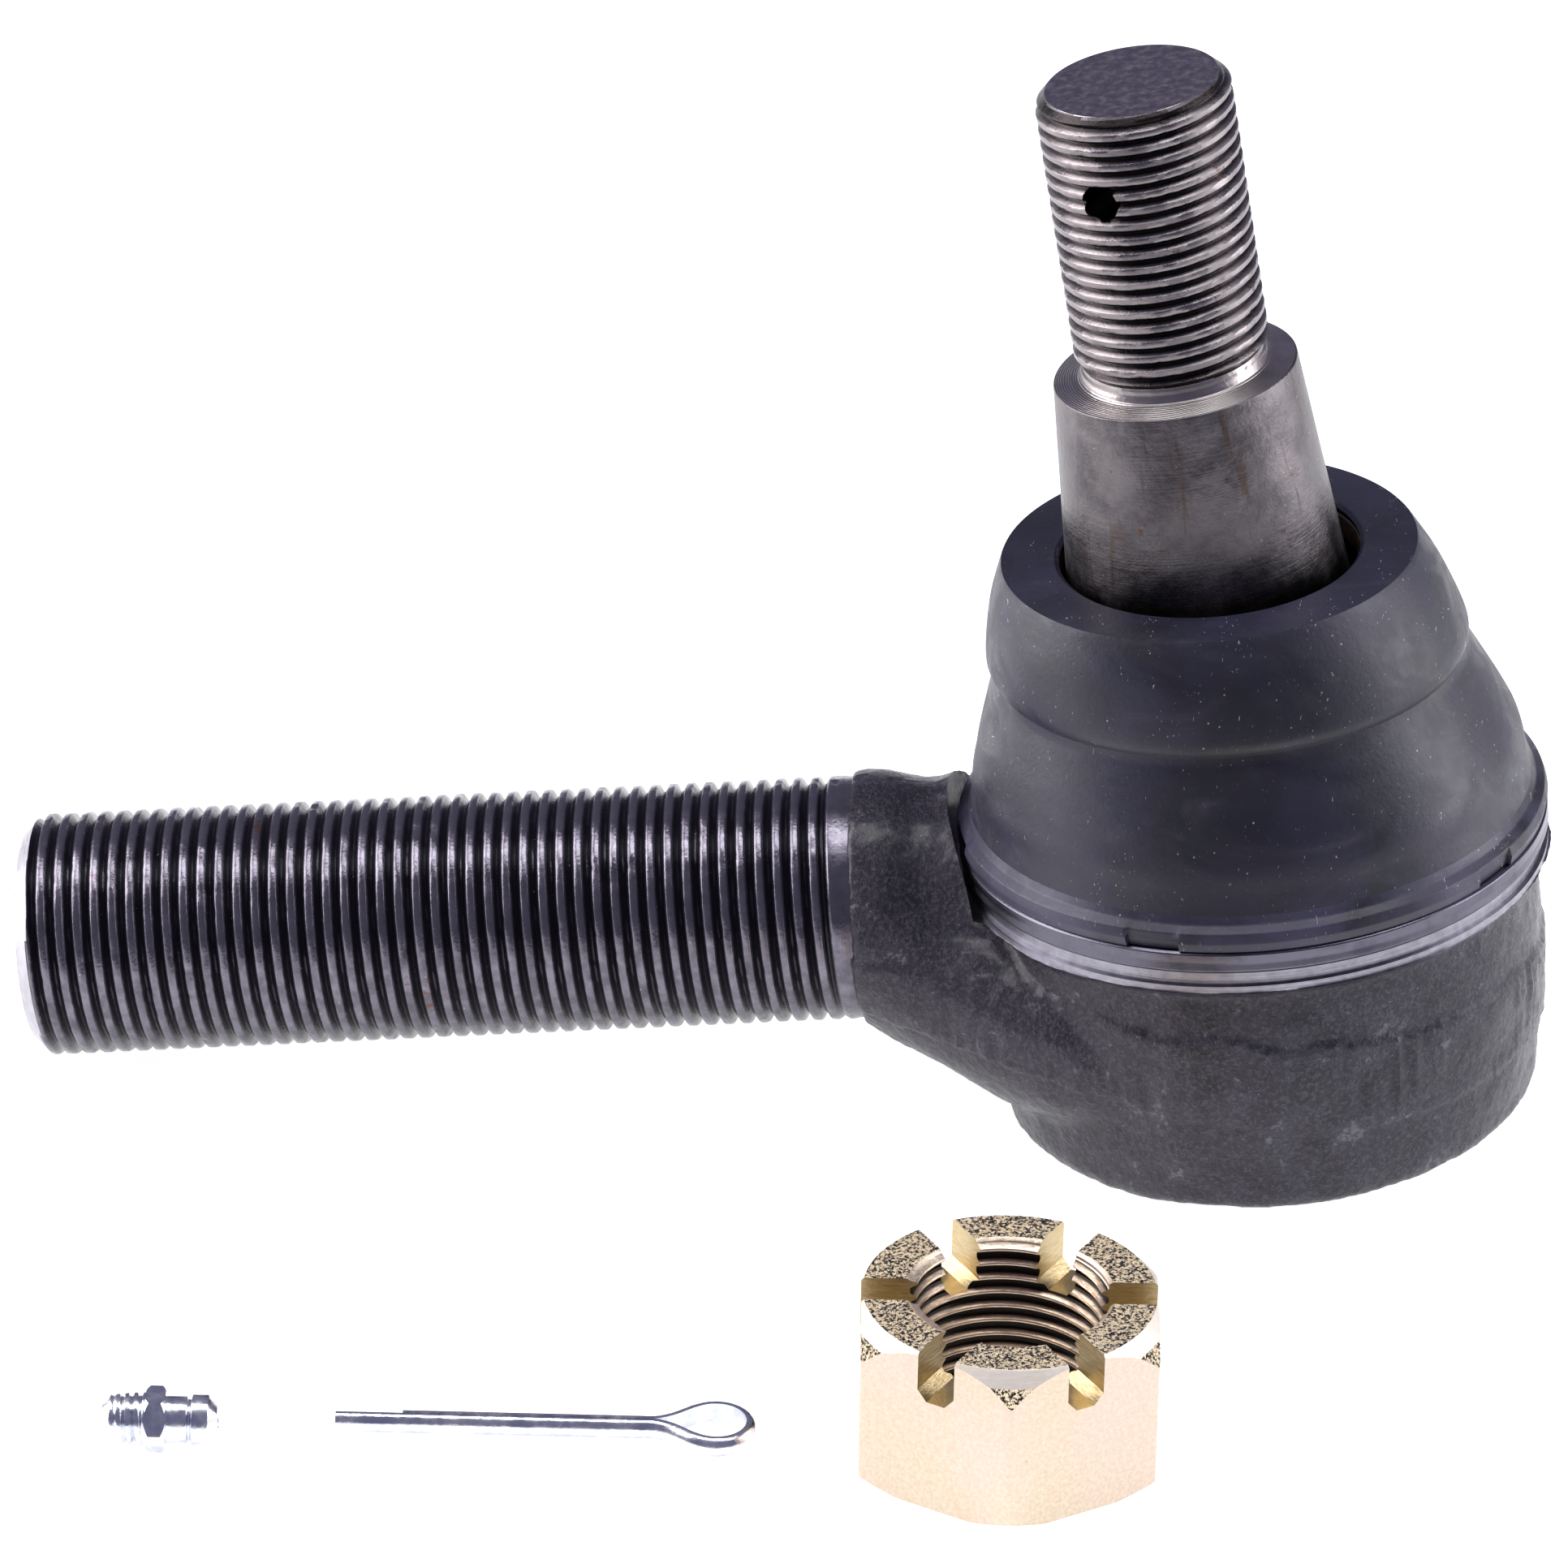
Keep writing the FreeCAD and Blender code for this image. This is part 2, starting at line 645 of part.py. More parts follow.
def make_fitting():
    """The grease fitting lies level on a flat of its hexagon."""
    turned_body = turned(
        "fitting_turned",
        [
            ("fitting_bore", "0.01"),
            ("fitting_thread_radius - 0.7", "0.01"),
            ("fitting_thread_radius", "1.1"),
            ("fitting_thread_radius", "fitting_thread_length"),
            ("fitting_neck_radius", "fitting_thread_length"),
            ("fitting_neck_radius", "fitting_length - fitting_head_length - 0.4"),
            ("fitting_groove_radius", "fitting_length - fitting_head_length - 0.3"),
            ("fitting_groove_radius", "fitting_length - fitting_head_length - 0.1"),
            ("fitting_head_radius", "fitting_length - fitting_head_length"),
            ("fitting_head_radius", "fitting_length - 1"),
            ("fitting_bore + 0.35", "fitting_length"),
            ("fitting_bore - 0.45", "fitting_length"),
            ("fitting_bore - 0.45", "fitting_length - 0.6"),
            ("fitting_bore", "fitting_length - 1.2"),
        ],
    )
    hexagon = doc.addObject("Part::Prism", "fitting_hexagon")
    hexagon.Polygon = 6
    bind(hexagon, Circumradius="fitting_hex_flats / sqrt(3)", Height="fitting_hex_length")
    hexagon.Placement = Placement(Vector(0, 0, DIM["fitting_thread_length"]), Rotation())
    bore = cylinder("fitting_bore_tool", "fitting_bore", "fitting_length - 1.2")
    body = fuse("fitting_solid", [turned_body, cut("fitting_hex_ring", hexagon, bore)])
    seat = Vector(0, 0, DIM["fitting_length"] - DIM["check_ball_depth"])
    lying = Rotation(Vector(0, 1, 0), 90).multiply(Rotation(Vector(0, 0, 1), 30))
    on_a_flat = on_bench("fitting", DIM["fitting_hex_flats"] / 2)
    rest = on_a_flat.multiply(Placement(Vector(0, 0, 0), lying))
    keep("grease_fitting", body, rest)
    ball = bind(doc.addObject("Part::Sphere", "check_ball"), Radius="check_ball_radius")
    keep("fitting_check_ball", ball, rest.multiply(Placement(seat, Rotation())))
    keep_check_spring(rest, seat)


def keep_check_spring(rest, seat):
    """A coil of five turns under the check ball. Its fine wire has a six-sided section."""
    length = DIM["check_coil_length"]
    wire = DIM["check_wire_radius"]
    helix = Part.makeHelix(length / 5, length, DIM["check_coil_radius"])
    start = helix.Edges[0].Vertexes[0].Point
    across = Rotation(Vector(0, 1, 0), 60)
    corner = Vector(wire, 0, 0)
    corners = []
    for _ in range(6):
        corners.append(start + corner)
        corner = across.multVec(corner)
    section = Part.makePolygon(corners + corners[:1])
    coil = doc.addObject("Part::Feature", "check_spring")
    coil.Shape = Part.Wire(helix).makePipeShell([section], True, True)
    below_ball = seat - Vector(0, 0, length + DIM["check_ball_radius"] + wire)
    under_ball = Placement(below_ball, Rotation())
    keep("fitting_check_spring", coil, rest.multiply(under_ball))


make_housing()
make_bearings()
make_spring()
make_cover()
make_boot_rings()
make_boot()
make_stud()
make_nut()
make_cotter_pin()
make_fitting()
doc.recompute()

for thing in doc.Objects:
    if {"Invalid", "Error"} & set(thing.State):
        raise RuntimeError(f"{thing.Name} failed: {thing.State}")
for label, thing in SUBPARTS.items():
    shape = thing.Shape
    if shape.isNull() or not shape.isValid() or not shape.Solids:
        raise RuntimeError(f"{label} has no valid solid")

os.makedirs("parts", exist_ok=True)
for label, thing in SUBPARTS.items():
    thing.Shape.exportStep(f"parts/{label}.step")
    print(label, round(thing.Shape.Volume, 1), len(thing.Shape.Solids))
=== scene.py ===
import json
import math

import bmesh
import bpy
from mathutils import Matrix, Vector, noise


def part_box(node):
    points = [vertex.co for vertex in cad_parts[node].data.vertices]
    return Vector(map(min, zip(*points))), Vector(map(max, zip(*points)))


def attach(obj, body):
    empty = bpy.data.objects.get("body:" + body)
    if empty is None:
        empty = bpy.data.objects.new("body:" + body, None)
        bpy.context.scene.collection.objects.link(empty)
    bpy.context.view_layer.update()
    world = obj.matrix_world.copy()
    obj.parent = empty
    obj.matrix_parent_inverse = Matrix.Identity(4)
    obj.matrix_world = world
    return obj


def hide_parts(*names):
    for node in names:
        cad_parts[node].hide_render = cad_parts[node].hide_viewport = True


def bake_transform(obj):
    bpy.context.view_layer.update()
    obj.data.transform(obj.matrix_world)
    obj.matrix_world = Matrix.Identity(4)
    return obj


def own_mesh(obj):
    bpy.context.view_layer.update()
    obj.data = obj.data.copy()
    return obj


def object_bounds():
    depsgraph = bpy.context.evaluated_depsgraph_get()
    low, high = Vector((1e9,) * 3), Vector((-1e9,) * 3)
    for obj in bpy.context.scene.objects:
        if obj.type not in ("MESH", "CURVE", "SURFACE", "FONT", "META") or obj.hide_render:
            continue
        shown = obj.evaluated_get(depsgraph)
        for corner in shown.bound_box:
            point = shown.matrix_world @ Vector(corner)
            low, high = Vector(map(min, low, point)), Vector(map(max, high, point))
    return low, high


# Tie rod end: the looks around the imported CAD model. Pieces are built in millimetres in axes of their
# own (the housing's, the shank's, the stud's, or a loose piece's), then put where the frame says.

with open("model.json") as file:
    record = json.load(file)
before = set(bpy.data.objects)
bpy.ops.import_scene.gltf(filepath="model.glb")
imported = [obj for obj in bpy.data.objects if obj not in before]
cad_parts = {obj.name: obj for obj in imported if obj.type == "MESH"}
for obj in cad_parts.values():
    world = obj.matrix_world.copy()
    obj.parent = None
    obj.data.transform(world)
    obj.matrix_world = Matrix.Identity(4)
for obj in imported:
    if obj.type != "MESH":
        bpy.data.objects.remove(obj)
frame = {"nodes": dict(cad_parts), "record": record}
cad_low, cad_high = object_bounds()

MM = 0.001
MERGE = 1e-4  # millimetres within which two points are one
VOXEL = 0.62
SMOOTHING = 9
TURN = 2 * math.pi
MOUNTS = {mount["name"]: mount for mount in frame["record"]["mounts"]}
OPENINGS = {space["name"]: space["box_m"] for space in frame["record"]["physics"]["openings"]}
BENCH = cad_low.z


# ---- places


def facing(z_axis, x_hint, origin=(0, 0, 0)):
    """A place whose z runs along z_axis, and whose x is as near x_hint as it can be."""
    z = Vector(z_axis).normalized()
    x = Vector(x_hint)
    x = (x - z * x.dot(z)).normalized()
    place = Matrix((x, z.cross(x), z)).transposed().to_4x4()
    place.translation = Vector(origin)
    return place


def in_mm(place, name):
    """Where a mount is in the axes of a place, in millimetres."""
    return (place.inverted() @ Vector(MOUNTS[name]["pos_m"])) / MM


SHANK_OUT = Vector(MOUNTS["shank_thread"]["axis"])
HOUSING = facing(MOUNTS["ball_centre"]["axis"], -SHANK_OUT)
STUD = facing(MOUNTS["stud_thread"]["axis"], -SHANK_OUT)
SHANK_HEIGHT = in_mm(HOUSING, "shank_thread").z
SHANK = facing(SHANK_OUT, HOUSING.col[2].to_3d(), HOUSING @ Vector((0, 0, SHANK_HEIGHT * MM)))


def thread_of(place, name):
    """Radius, first and last height of a threaded mount, along the place's z."""
    sizes = MOUNTS[name]["dims"]
    middle = in_mm(place, name).z
    return sizes["r_mm"], middle - sizes["length_mm"] / 2, middle + sizes["length_mm"] / 2


# ---- meshes


def outline(points, closed=False, steps=5):
    """Points (r, z) of an outline. A third value rounds that corner to a radius."""
    result = []
    count = len(points)
    for i, point in enumerate(points):
        here = Vector((point[0], point[1], 0))
        if len(point) == 2 or (not closed and i in (0, count - 1)):
            result.append((here.x, here.y))
            continue
        before = (Vector((*points[i - 1][:2], 0)) - here).normalized()
        after = (Vector((*points[(i + 1) % count][:2], 0)) - here).normalized()
        half = before.angle(after) / 2
        centre = here + (before + after).normalized() * point[2] / math.sin(half)
        start = here + before * point[2] / math.tan(half) - centre
        end = here + after * point[2] / math.tan(half) - centre
        for step in range(steps + 1):
            spot = centre + start.slerp(end, step / steps) * point[2]
            result.append((spot.x, spot.y))
    return result


def curve_through(points, steps=6):
    """A smooth line through points (r, z, ...), as a Catmull-Rom curve."""
    padded = [points[0], *points, points[-1]]
    result = []
    for i in range(1, len(padded) - 2):
        a, b, c, d = (Vector(padded[k]) for k in range(i - 1, i + 3))
        for step in range(steps):
            t = step / steps
            quadratic, cubic = a * 2 - b * 5 + c * 4 - d, b * 3 - a - c * 3 + d
            smooth = b * 2 + (c - a) * t + quadratic * t**2 + cubic * t**3
            result.append(tuple(smooth * 0.5))
    result.append(tuple(points[-1]))
    return result


def even_angles(segments):
    return [TURN * k / segments for k in range(segments)]


def polar(r, angle, z=0.0):
    """The point at a distance and an angle round the z axis."""
    return Vector((r * math.cos(angle), r * math.sin(angle), z))


def add_rings(mesh, rows, angles, closed=False):
    """Skins rows of (r, z) or (r, z, shift along x), turned about z. r 0 is a point on the axis."""
    rings = []
    for row in rows:
        shift = row[2] if len(row) == 3 else 0
        if row[0] < 1e-6:
            rings.append([mesh.verts.new(Vector((shift, 0, row[1])) * MM)] * len(angles))
            continue
        ring = []
        for angle in angles:
            spot = Vector((row[0] * math.cos(angle) + shift, row[0] * math.sin(angle), row[1]))
            ring.append(mesh.verts.new(spot * MM))
        rings.append(ring)
    if closed:
        rings.append(rings[0])
    for lower, upper in zip(rings, rings[1:]):
        for k in range(len(angles)):
            after = (k + 1) % len(angles)
            corners = dict.fromkeys((lower[k], lower[after], upper[after], upper[k]))
            if len(corners) > 2:
                mesh.faces.new(list(corners))


def add_tube(mesh, rings):
    """Skins closed rings of corners one after another, with a flat face at both ends."""
    for near, far in zip(rings, rings[1:]):
        for k in range(len(near)):
            after = (k + 1) % len(near)
            mesh.faces.new((near[k], near[after], far[after], far[k]))
    mesh.faces.new(rings[0])
    mesh.faces.new(rings[-1])


# One pitch of a rolled thread: how far along it, and how deep, as shares of the pitch and the depth.
THREAD_FORM = [
    (-0.22, 0.12), (-0.16, 0.0), (0.0, -0.04), (0.16, 0.0),
    (0.22, 0.12), (0.41, 0.9), (0.5, 1.0), (0.59, 0.9),
]


def add_thread(mesh, radius, pitch, depth, bottom, top, limit, angles, wear=0.0):
    """The helical skin of a thread from bottom to top. limit(z) gives the largest radius there and
    how much of the depth is cut, which fades the thread out at its ends."""
    turns = math.ceil((top - bottom) / pitch) + 3
    step = len(THREAD_FORM)
    count = len(angles)
    grid = []
    for turn in range(turns):
        for along, deep in THREAD_FORM:
            line = []
            for k, angle in enumerate(angles):
                free_z = bottom + (turn - 1.5 + along + k / count) * pitch
                z = min(max(free_z, bottom), top)
                largest, share = limit(z)
                r = radius - deep * depth * share
                if wear and bottom < free_z < top:
                    spot = polar(radius, angle, z)
                    r += wear * min(0.0, noise.noise(spot * 0.9) + 0.15) * (1 - deep)
                r = min(r, largest)
                line.append(mesh.verts.new(polar(r, angle, z) * MM))
            grid.append(line)
    for i in range(len(grid) - 1):
        for k in range(count):
            if k + 1 < count:
                corners = (grid[i][k], grid[i][k + 1], grid[i + 1][k + 1], grid[i + 1][k])
            elif i + 1 + step < len(grid):
                corners = (grid[i][k], grid[i + step][0], grid[i + step + 1][0], grid[i + 1][k])
            else:
                continue
            mesh.faces.new(corners)


def add_object(name, data):
    made = bpy.data.objects.new(name, data)
    bpy.context.scene.collection.objects.link(made)
    return made


def to_object(mesh, name):
    """Ends a bmesh: merges its doubled points, turns its faces outwards and makes the object."""
    bmesh.ops.remove_doubles(mesh, verts=mesh.verts, dist=MERGE * MM)
    bmesh.ops.dissolve_degenerate(mesh, edges=mesh.edges, dist=1e-3 * MERGE * MM)
    bmesh.ops.recalc_face_normals(mesh, faces=mesh.faces)
    data = bpy.data.meshes.new(name)
    mesh.to_mesh(data)
    mesh.free()
    return add_object(name, data)


def lathe(name, points, segments=128, closed=False):
    mesh = bmesh.new()
    add_rings(mesh, points, even_angles(segments), closed)
    return to_object(mesh, name)


def prism(name, corners, bottom, top):
    """A straight prism on corners (x, y)."""
    mesh = bmesh.new()
    low = [mesh.verts.new(Vector((x, y, bottom)) * MM) for x, y in corners]
    high = [mesh.verts.new(Vector((x, y, top)) * MM) for x, y in corners]
    add_tube(mesh, (low, high))
    return to_object(mesh, name)


def apply_modifiers(made):
    bpy.context.view_layer.update()
    shown = made.evaluated_get(bpy.context.evaluated_depsgraph_get())
    data = bpy.data.meshes.new_from_object(shown)
    made.modifiers.clear()
    made.data = data


def combine(base, tool, operation):
    """A boolean of two objects. The tool's faces bring their material, and the tool goes."""
    modifier = base.modifiers.new("combine", "BOOLEAN")
    modifier.operation = operation
    modifier.object = tool
    modifier.solver = "MANIFOLD"
    modifier.material_mode = "TRANSFER"
    apply_modifiers(base)
    bpy.data.objects.remove(tool)


def remesh(made):
    modifier = made.modifiers.new("remesh", "REMESH")
    modifier.mode = "VOXEL"
    modifier.voxel_size = VOXEL * MM
    smooth = made.modifiers.new("smooth", "SMOOTH")
    smooth.factor = 0.5
    smooth.iterations = SMOOTHING
    apply_modifiers(made)


def turn_mesh(made, matrix):
    made.data.transform(matrix)
    return made


def shade(made, sharp=35):
    """Smooth shading that stays crisp at edges sharper than the angle."""
    made.data.shade_smooth()
    made.data.set_sharp_from_angle(angle=math.radians(sharp))


def paint(made, *materials):
    made.data.materials.clear()
    for material in materials:
        made.data.materials.append(material)


def paint_where(made, slot, test):
    """Gives a material slot to the faces whose middle (mm) and normal pass a test."""
    for face in made.data.polygons:
        if test(face.center / MM, face.normal):
            face.material_index = slot


def put(made, place, body, replaces=(), sharp=35):
    shade(made, sharp)
    made.matrix_world = place
    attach(made, body)
    if replaces:
        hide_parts(*replaces)


# ---- materials


class Finish:
    """A procedural material. Its textures are in millimetres, in the piece's own axes."""

    def __init__(self, name, color, metallic, roughness, **sockets):
        self.material = bpy.data.materials.new(name)
        self.material.use_nodes = True
        self.tree = self.material.node_tree
        self.shader = next(n for n in self.tree.nodes if n.type == "BSDF_PRINCIPLED")
        self.set("Base Color", (*color, 1))
        self.set("Metallic", metallic)
        self.set("Roughness", roughness)
        for socket, value in sockets.items():
            self.set(socket.replace("_", " "), value)
        coordinates = self.tree.nodes.new("ShaderNodeTexCoord")
        self.mm = self.add("ShaderNodeVectorMath", coordinates.outputs["Object"], operation="SCALE")
        self.mm.inputs["Scale"].default_value = 1 / MM

    def set(self, socket, value):
        self.shader.inputs[socket].default_value = value

    def plug(self, socket, output):
        self.tree.links.new(output, self.shader.inputs[socket])

    def color(self, share, first, second):
        """The base colour, between two."""
        self.plug("Base Color", self.mix(share, first, second))

    def roughness(self, value, low, high):
        """The roughness, from low to high as a noise goes through its middle."""
        self.plug("Roughness", self.span(value, 0.3, 0.7, low, high))

    def add(self, kind, *values, **settings):
        """A node whose first inputs are the given outputs or plain values."""
        node = self.tree.nodes.new(kind)
        for name, value in settings.items():
            setattr(node, name, value)
        for socket, value in zip(node.inputs, values):
            if isinstance(value, bpy.types.NodeSocket):
                self.tree.links.new(value, socket)
            else:
                socket.default_value = value
        return node

    def math(self, operation, *values):
        return self.add("ShaderNodeMath", *values, operation=operation).outputs[0]

    def stretched(self, scale):
        """The millimetre coordinates times a scale, for each axis or the same on all."""
        scale = scale if isinstance(scale, tuple) else (scale,) * 3
        return self.add("ShaderNodeVectorMath", self.mm.outputs[0], scale, operation="MULTIPLY").outputs[0]

    def noise(self, scale, detail=4.0, rough=0.55, distortion=0.0):
        """Noise with scale cells in a millimetre."""
        node = self.add("ShaderNodeTexNoise", self.stretched(scale))
        settings = {"Scale": 1.0, "Detail": detail, "Roughness": rough, "Distortion": distortion}
        for name, value in settings.items():
            node.inputs[name].default_value = value
        return node.outputs["Fac"]

    def cells(self, scale):
        """Distance from the middles of scattered cells, in cells."""
        node = self.add("ShaderNodeTexVoronoi", self.stretched(scale))
        node.inputs["Scale"].default_value = 1.0
        return node.outputs["Distance"]

    def span(self, value, low, high, start=0.0, end=1.0):
        """Maps low..high onto start..end, smoothly."""
        node = self.add("ShaderNodeMapRange", value, low, high, start, end, interpolation_type="SMOOTHSTEP")
        return node.outputs[0]

    def radius(self):
        """Distance from the piece's z axis, in millimetres."""
        parts = self.add("ShaderNodeSeparateXYZ", self.mm.outputs[0])
        squares = [self.math("MULTIPLY", part, part) for part in parts.outputs[:2]]
        return self.math("SQRT", self.math("ADD", *squares))

    def mix(self, share, first, second):
        """A colour between two, each a colour or an output."""
        node = self.tree.nodes.new("ShaderNodeMix")
        node.data_type = "RGBA"
        self.tree.links.new(share, node.inputs["Factor"])
        for socket, value in ((node.inputs[6], first), (node.inputs[7], second)):
            if isinstance(value, bpy.types.NodeSocket):
                self.tree.links.new(value, socket)
            else:
                socket.default_value = (*value, 1)
        return node.outputs[2]

    def bump(self, *layers):
        """Bumps of (height output, depth in millimetres), one over another. Gives the material."""
        last = None
        for height, depth in layers:
            node = self.tree.nodes.new("ShaderNodeBump")
            node.inputs["Distance"].default_value = depth * MM
            self.tree.links.new(height, node.inputs["Height"])
            if last is not None:
                self.tree.links.new(last, node.inputs["Normal"])
            last = node.outputs[0]
        self.plug("Normal", last)
        return self.material


def forging_black():
    """Rough forging scale under thin black paint, grey where the skin is rubbed."""
    made = Finish("forging_black", (0.03, 0.03, 0.035), 0.55, 0.42, Coat_Weight=0.4, Coat_Roughness=0.25)
    pits = made.noise(1.1, 6.0, 0.65)
    lumps = made.noise(0.22, 4.0, 0.5)
    grit = made.noise(1.9, 3.0, 0.75)
    tone = made.mix(made.span(lumps, 0.3, 0.72), (0.010, 0.008, 0.015), (0.028, 0.024, 0.038))
    tone = made.mix(made.span(grit, 0.44, 0.66), tone, (0.062, 0.055, 0.078))
    rubbed = made.span(made.math("MULTIPLY", pits, lumps), 0.33, 0.43)
    tone = made.mix(rubbed, tone, (0.15, 0.142, 0.165))
    scratch = made.span(made.noise((3.0, 0.5, 3.0), 3.0, 0.6, 1.5), 0.69, 0.75)
    tone = made.mix(scratch, tone, (0.45, 0.43, 0.46))
    chips = made.span(made.noise(2.6, 3.0, 0.7), 0.71, 0.76)
    made.color(chips, tone, (0.34, 0.33, 0.36))
    made.roughness(pits, 0.30, 0.52)
    return made.bump((lumps, 0.7), (pits, 0.9), (grit, 0.55))


def turned_steel():
    """Bright turned steel, with the tool's rings round the axis."""
    made = Finish("turned_steel", (0.45, 0.44, 0.47), 1.0, 0.3)
    rings = made.noise((0.02, 0.02, 5.0), 3.0, 0.7)
    made.color(made.noise(0.8), (0.16, 0.155, 0.18), (0.42, 0.41, 0.46))
    made.roughness(rings, 0.22, 0.42)
    return made.bump((rings, 0.05))


def thread_black(radius, depth):
    """Black oxide on rolled threads: oily black grooves and crests worn towards bare steel."""
    made = Finish("thread_black", (0.02, 0.018, 0.026), 0.75, 0.28)
    crest = made.span(made.radius(), radius - 0.45 * depth, radius - 0.02)
    patches = made.noise(0.35, 5.0, 0.6)
    worn = made.math("MULTIPLY", crest, made.span(patches, 0.25, 0.75, 0.35, 1.0))
    base = made.mix(made.noise(0.5), (0.010, 0.009, 0.014), (0.022, 0.019, 0.030))
    tone = made.mix(worn, base, (0.21, 0.195, 0.235))
    rust = made.math("MULTIPLY", crest, made.span(made.noise(0.16, 6.0, 0.7), 0.64, 0.72))
    tone = made.mix(rust, tone, (0.12, 0.06, 0.045))
    nicks = made.span(made.noise(1.4, 4.0, 0.7), 0.70, 0.74)
    made.color(nicks, tone, (0.5, 0.47, 0.5))
    made.plug("Metallic", made.span(worn, 0.0, 1.0, 0.55, 0.95))
    made.roughness(patches, 0.13, 0.28)
    return made.bump((made.noise(2.2, 4.0, 0.6), 0.04), (made.noise((0.3, 0.3, 6.0)), 0.02))


def bare_face():
    """Sawn and chamfered bare steel at the shank's end."""
    made = Finish("bare_face", (0.5, 0.49, 0.52), 1.0, 0.32)
    marks = made.noise((0.5, 0.5, 4.0), 4.0, 0.6)
    made.color(made.noise(0.6), (0.35, 0.34, 0.37), (0.62, 0.6, 0.64))
    made.roughness(marks, 0.25, 0.45)
    return made.bump((marks, 0.08))


def ring_steel():
    """The bright rolled band that holds the boot."""
    made = Finish("ring_steel", (0.3, 0.3, 0.33), 1.0, 0.3)
    streaks = made.noise((0.03, 0.03, 1.6), 3.0, 0.5)
    stain = made.span(made.noise(0.25, 5.0, 0.6), 0.45, 0.75)
    made.color(stain, (0.13, 0.126, 0.158), (0.085, 0.082, 0.108))
    made.roughness(streaks, 0.24, 0.34)
    return made.bump((streaks, 0.02), (made.noise(1.5), 0.02))


def boot_rubber(name, bloom_and_sheen):
    """Matte black rubber with a bluish bloom, lint and dust, and faint moulding marks. The bloom colour is
    given per piece; the rim's lighter one is partly a painted sheen.
    """
    made = Finish(name, (0.012, 0.012, 0.02), 0.0, 0.42, Specular_IOR_Level=0.5)
    cloud = made.noise(0.07, 4.0, 0.55, 0.6)
    smear = made.noise((0.05, 0.11, 0.16), 5.0, 0.6, 1.2)
    tone = made.mix(made.span(cloud, 0.3, 0.7), (0.008, 0.008, 0.015), bloom_and_sheen)
    tone = made.mix(made.span(smear, 0.55, 0.8), tone, (0.035, 0.034, 0.052))
    dust = made.span(made.cells(0.6), 0.0, 0.10, 1.0, 0.0)
    sparse = made.span(made.noise(0.13, 3.0), 0.46, 0.6)
    lint = made.span(made.noise((2.6, 0.5, 0.7), 2.0, 0.5, 2.5), 0.725, 0.745)
    speck = made.math("MAXIMUM", made.math("MULTIPLY", dust, sparse), made.math("MULTIPLY", lint, 0.8))
    made.color(speck, tone, (0.42, 0.40, 0.42))
    made.plug("Roughness", made.span(smear, 0.3, 0.75, 0.36, 0.56))
    return made.bump((cloud, 0.12), (made.noise(1.6, 5.0, 0.6), 0.035))


def lip_steel():
    """Dull brownish steel moulded into the boot's lip."""
    made = Finish("lip_steel", (0.25, 0.2, 0.16), 0.8, 0.5)
    rust = made.noise(0.5, 6.0, 0.65)
    made.color(made.span(rust, 0.35, 0.7), (0.16, 0.14, 0.13), (0.34, 0.23, 0.15))
    return made.bump((rust, 0.08))


def stud_steel():
    """Ground bare steel, grey-brown with handling marks and a little rust."""
    made = Finish("stud_steel", (0.2, 0.18, 0.17), 1.0, 0.33)
    along = made.noise((0.5, 0.5, 0.05), 5.0, 0.62, 0.4)
    blotch = made.noise(0.16, 6.0, 0.62)
    tone = made.mix(made.span(blotch, 0.3, 0.7), (0.075, 0.068, 0.074), (0.185, 0.170, 0.175))
    tone = made.mix(made.span(along, 0.56, 0.72), tone, (0.10, 0.075, 0.066))
    rust = made.span(made.noise(0.3, 7.0, 0.7), 0.63, 0.7)
    tone = made.mix(rust, tone, (0.10, 0.055, 0.035))
    specks = made.span(made.noise(1.8, 5.0, 0.7), 0.67, 0.72)
    made.color(specks, tone, (0.5, 0.47, 0.45))
    made.roughness(blotch, 0.28, 0.46)
    rings = made.noise((0.05, 0.05, 5.0), 3.0, 0.6)
    return made.bump((made.noise(1.1, 6.0, 0.65), 0.09), (rings, 0.03))


def shoulder_steel():
    """The finely turned face between the stud's thread and its taper."""
    made = Finish("shoulder_steel", (0.33, 0.3, 0.3), 1.0, 0.3)
    rings = made.add("ShaderNodeTexWave", made.radius(), wave_type="BANDS", bands_direction="X")
    rings.inputs["Scale"].default_value = 1.1
    rings.inputs["Distortion"].default_value = 0.6
    made.color(made.noise(0.35, 6.0, 0.65), (0.20, 0.18, 0.18), (0.48, 0.44, 0.43))
    return made.bump((rings.outputs["Fac"], 0.04), (made.noise(1.4), 0.04))


def stud_thread_steel(radius, depth):
    """Rolled stud thread: grooves painted near black as shade, worn grey crests."""
    made = Finish("stud_thread_steel", (0.1, 0.09, 0.1), 1.0, 0.3)
    crest = made.span(made.radius(), radius - 0.75 * depth, radius - 0.05)
    patches = made.noise(0.3, 6.0, 0.65)
    # Painted shade: the grooves are coloured near black, darker than the stud's steel, where shade falls
    # between the crests.
    painted_groove_shade = made.mix(patches, (0.018, 0.016, 0.018), (0.05, 0.042, 0.04))
    top = made.mix(patches, (0.16, 0.14, 0.15), (0.34, 0.31, 0.31))
    tone = made.mix(crest, painted_groove_shade, top)
    rust = made.span(made.noise(0.22, 6.0, 0.7), 0.62, 0.7)
    made.color(rust, tone, (0.10, 0.055, 0.045))
    made.roughness(patches, 0.22, 0.4)
    return made.bump((made.noise(2.0, 5.0, 0.65), 0.06))


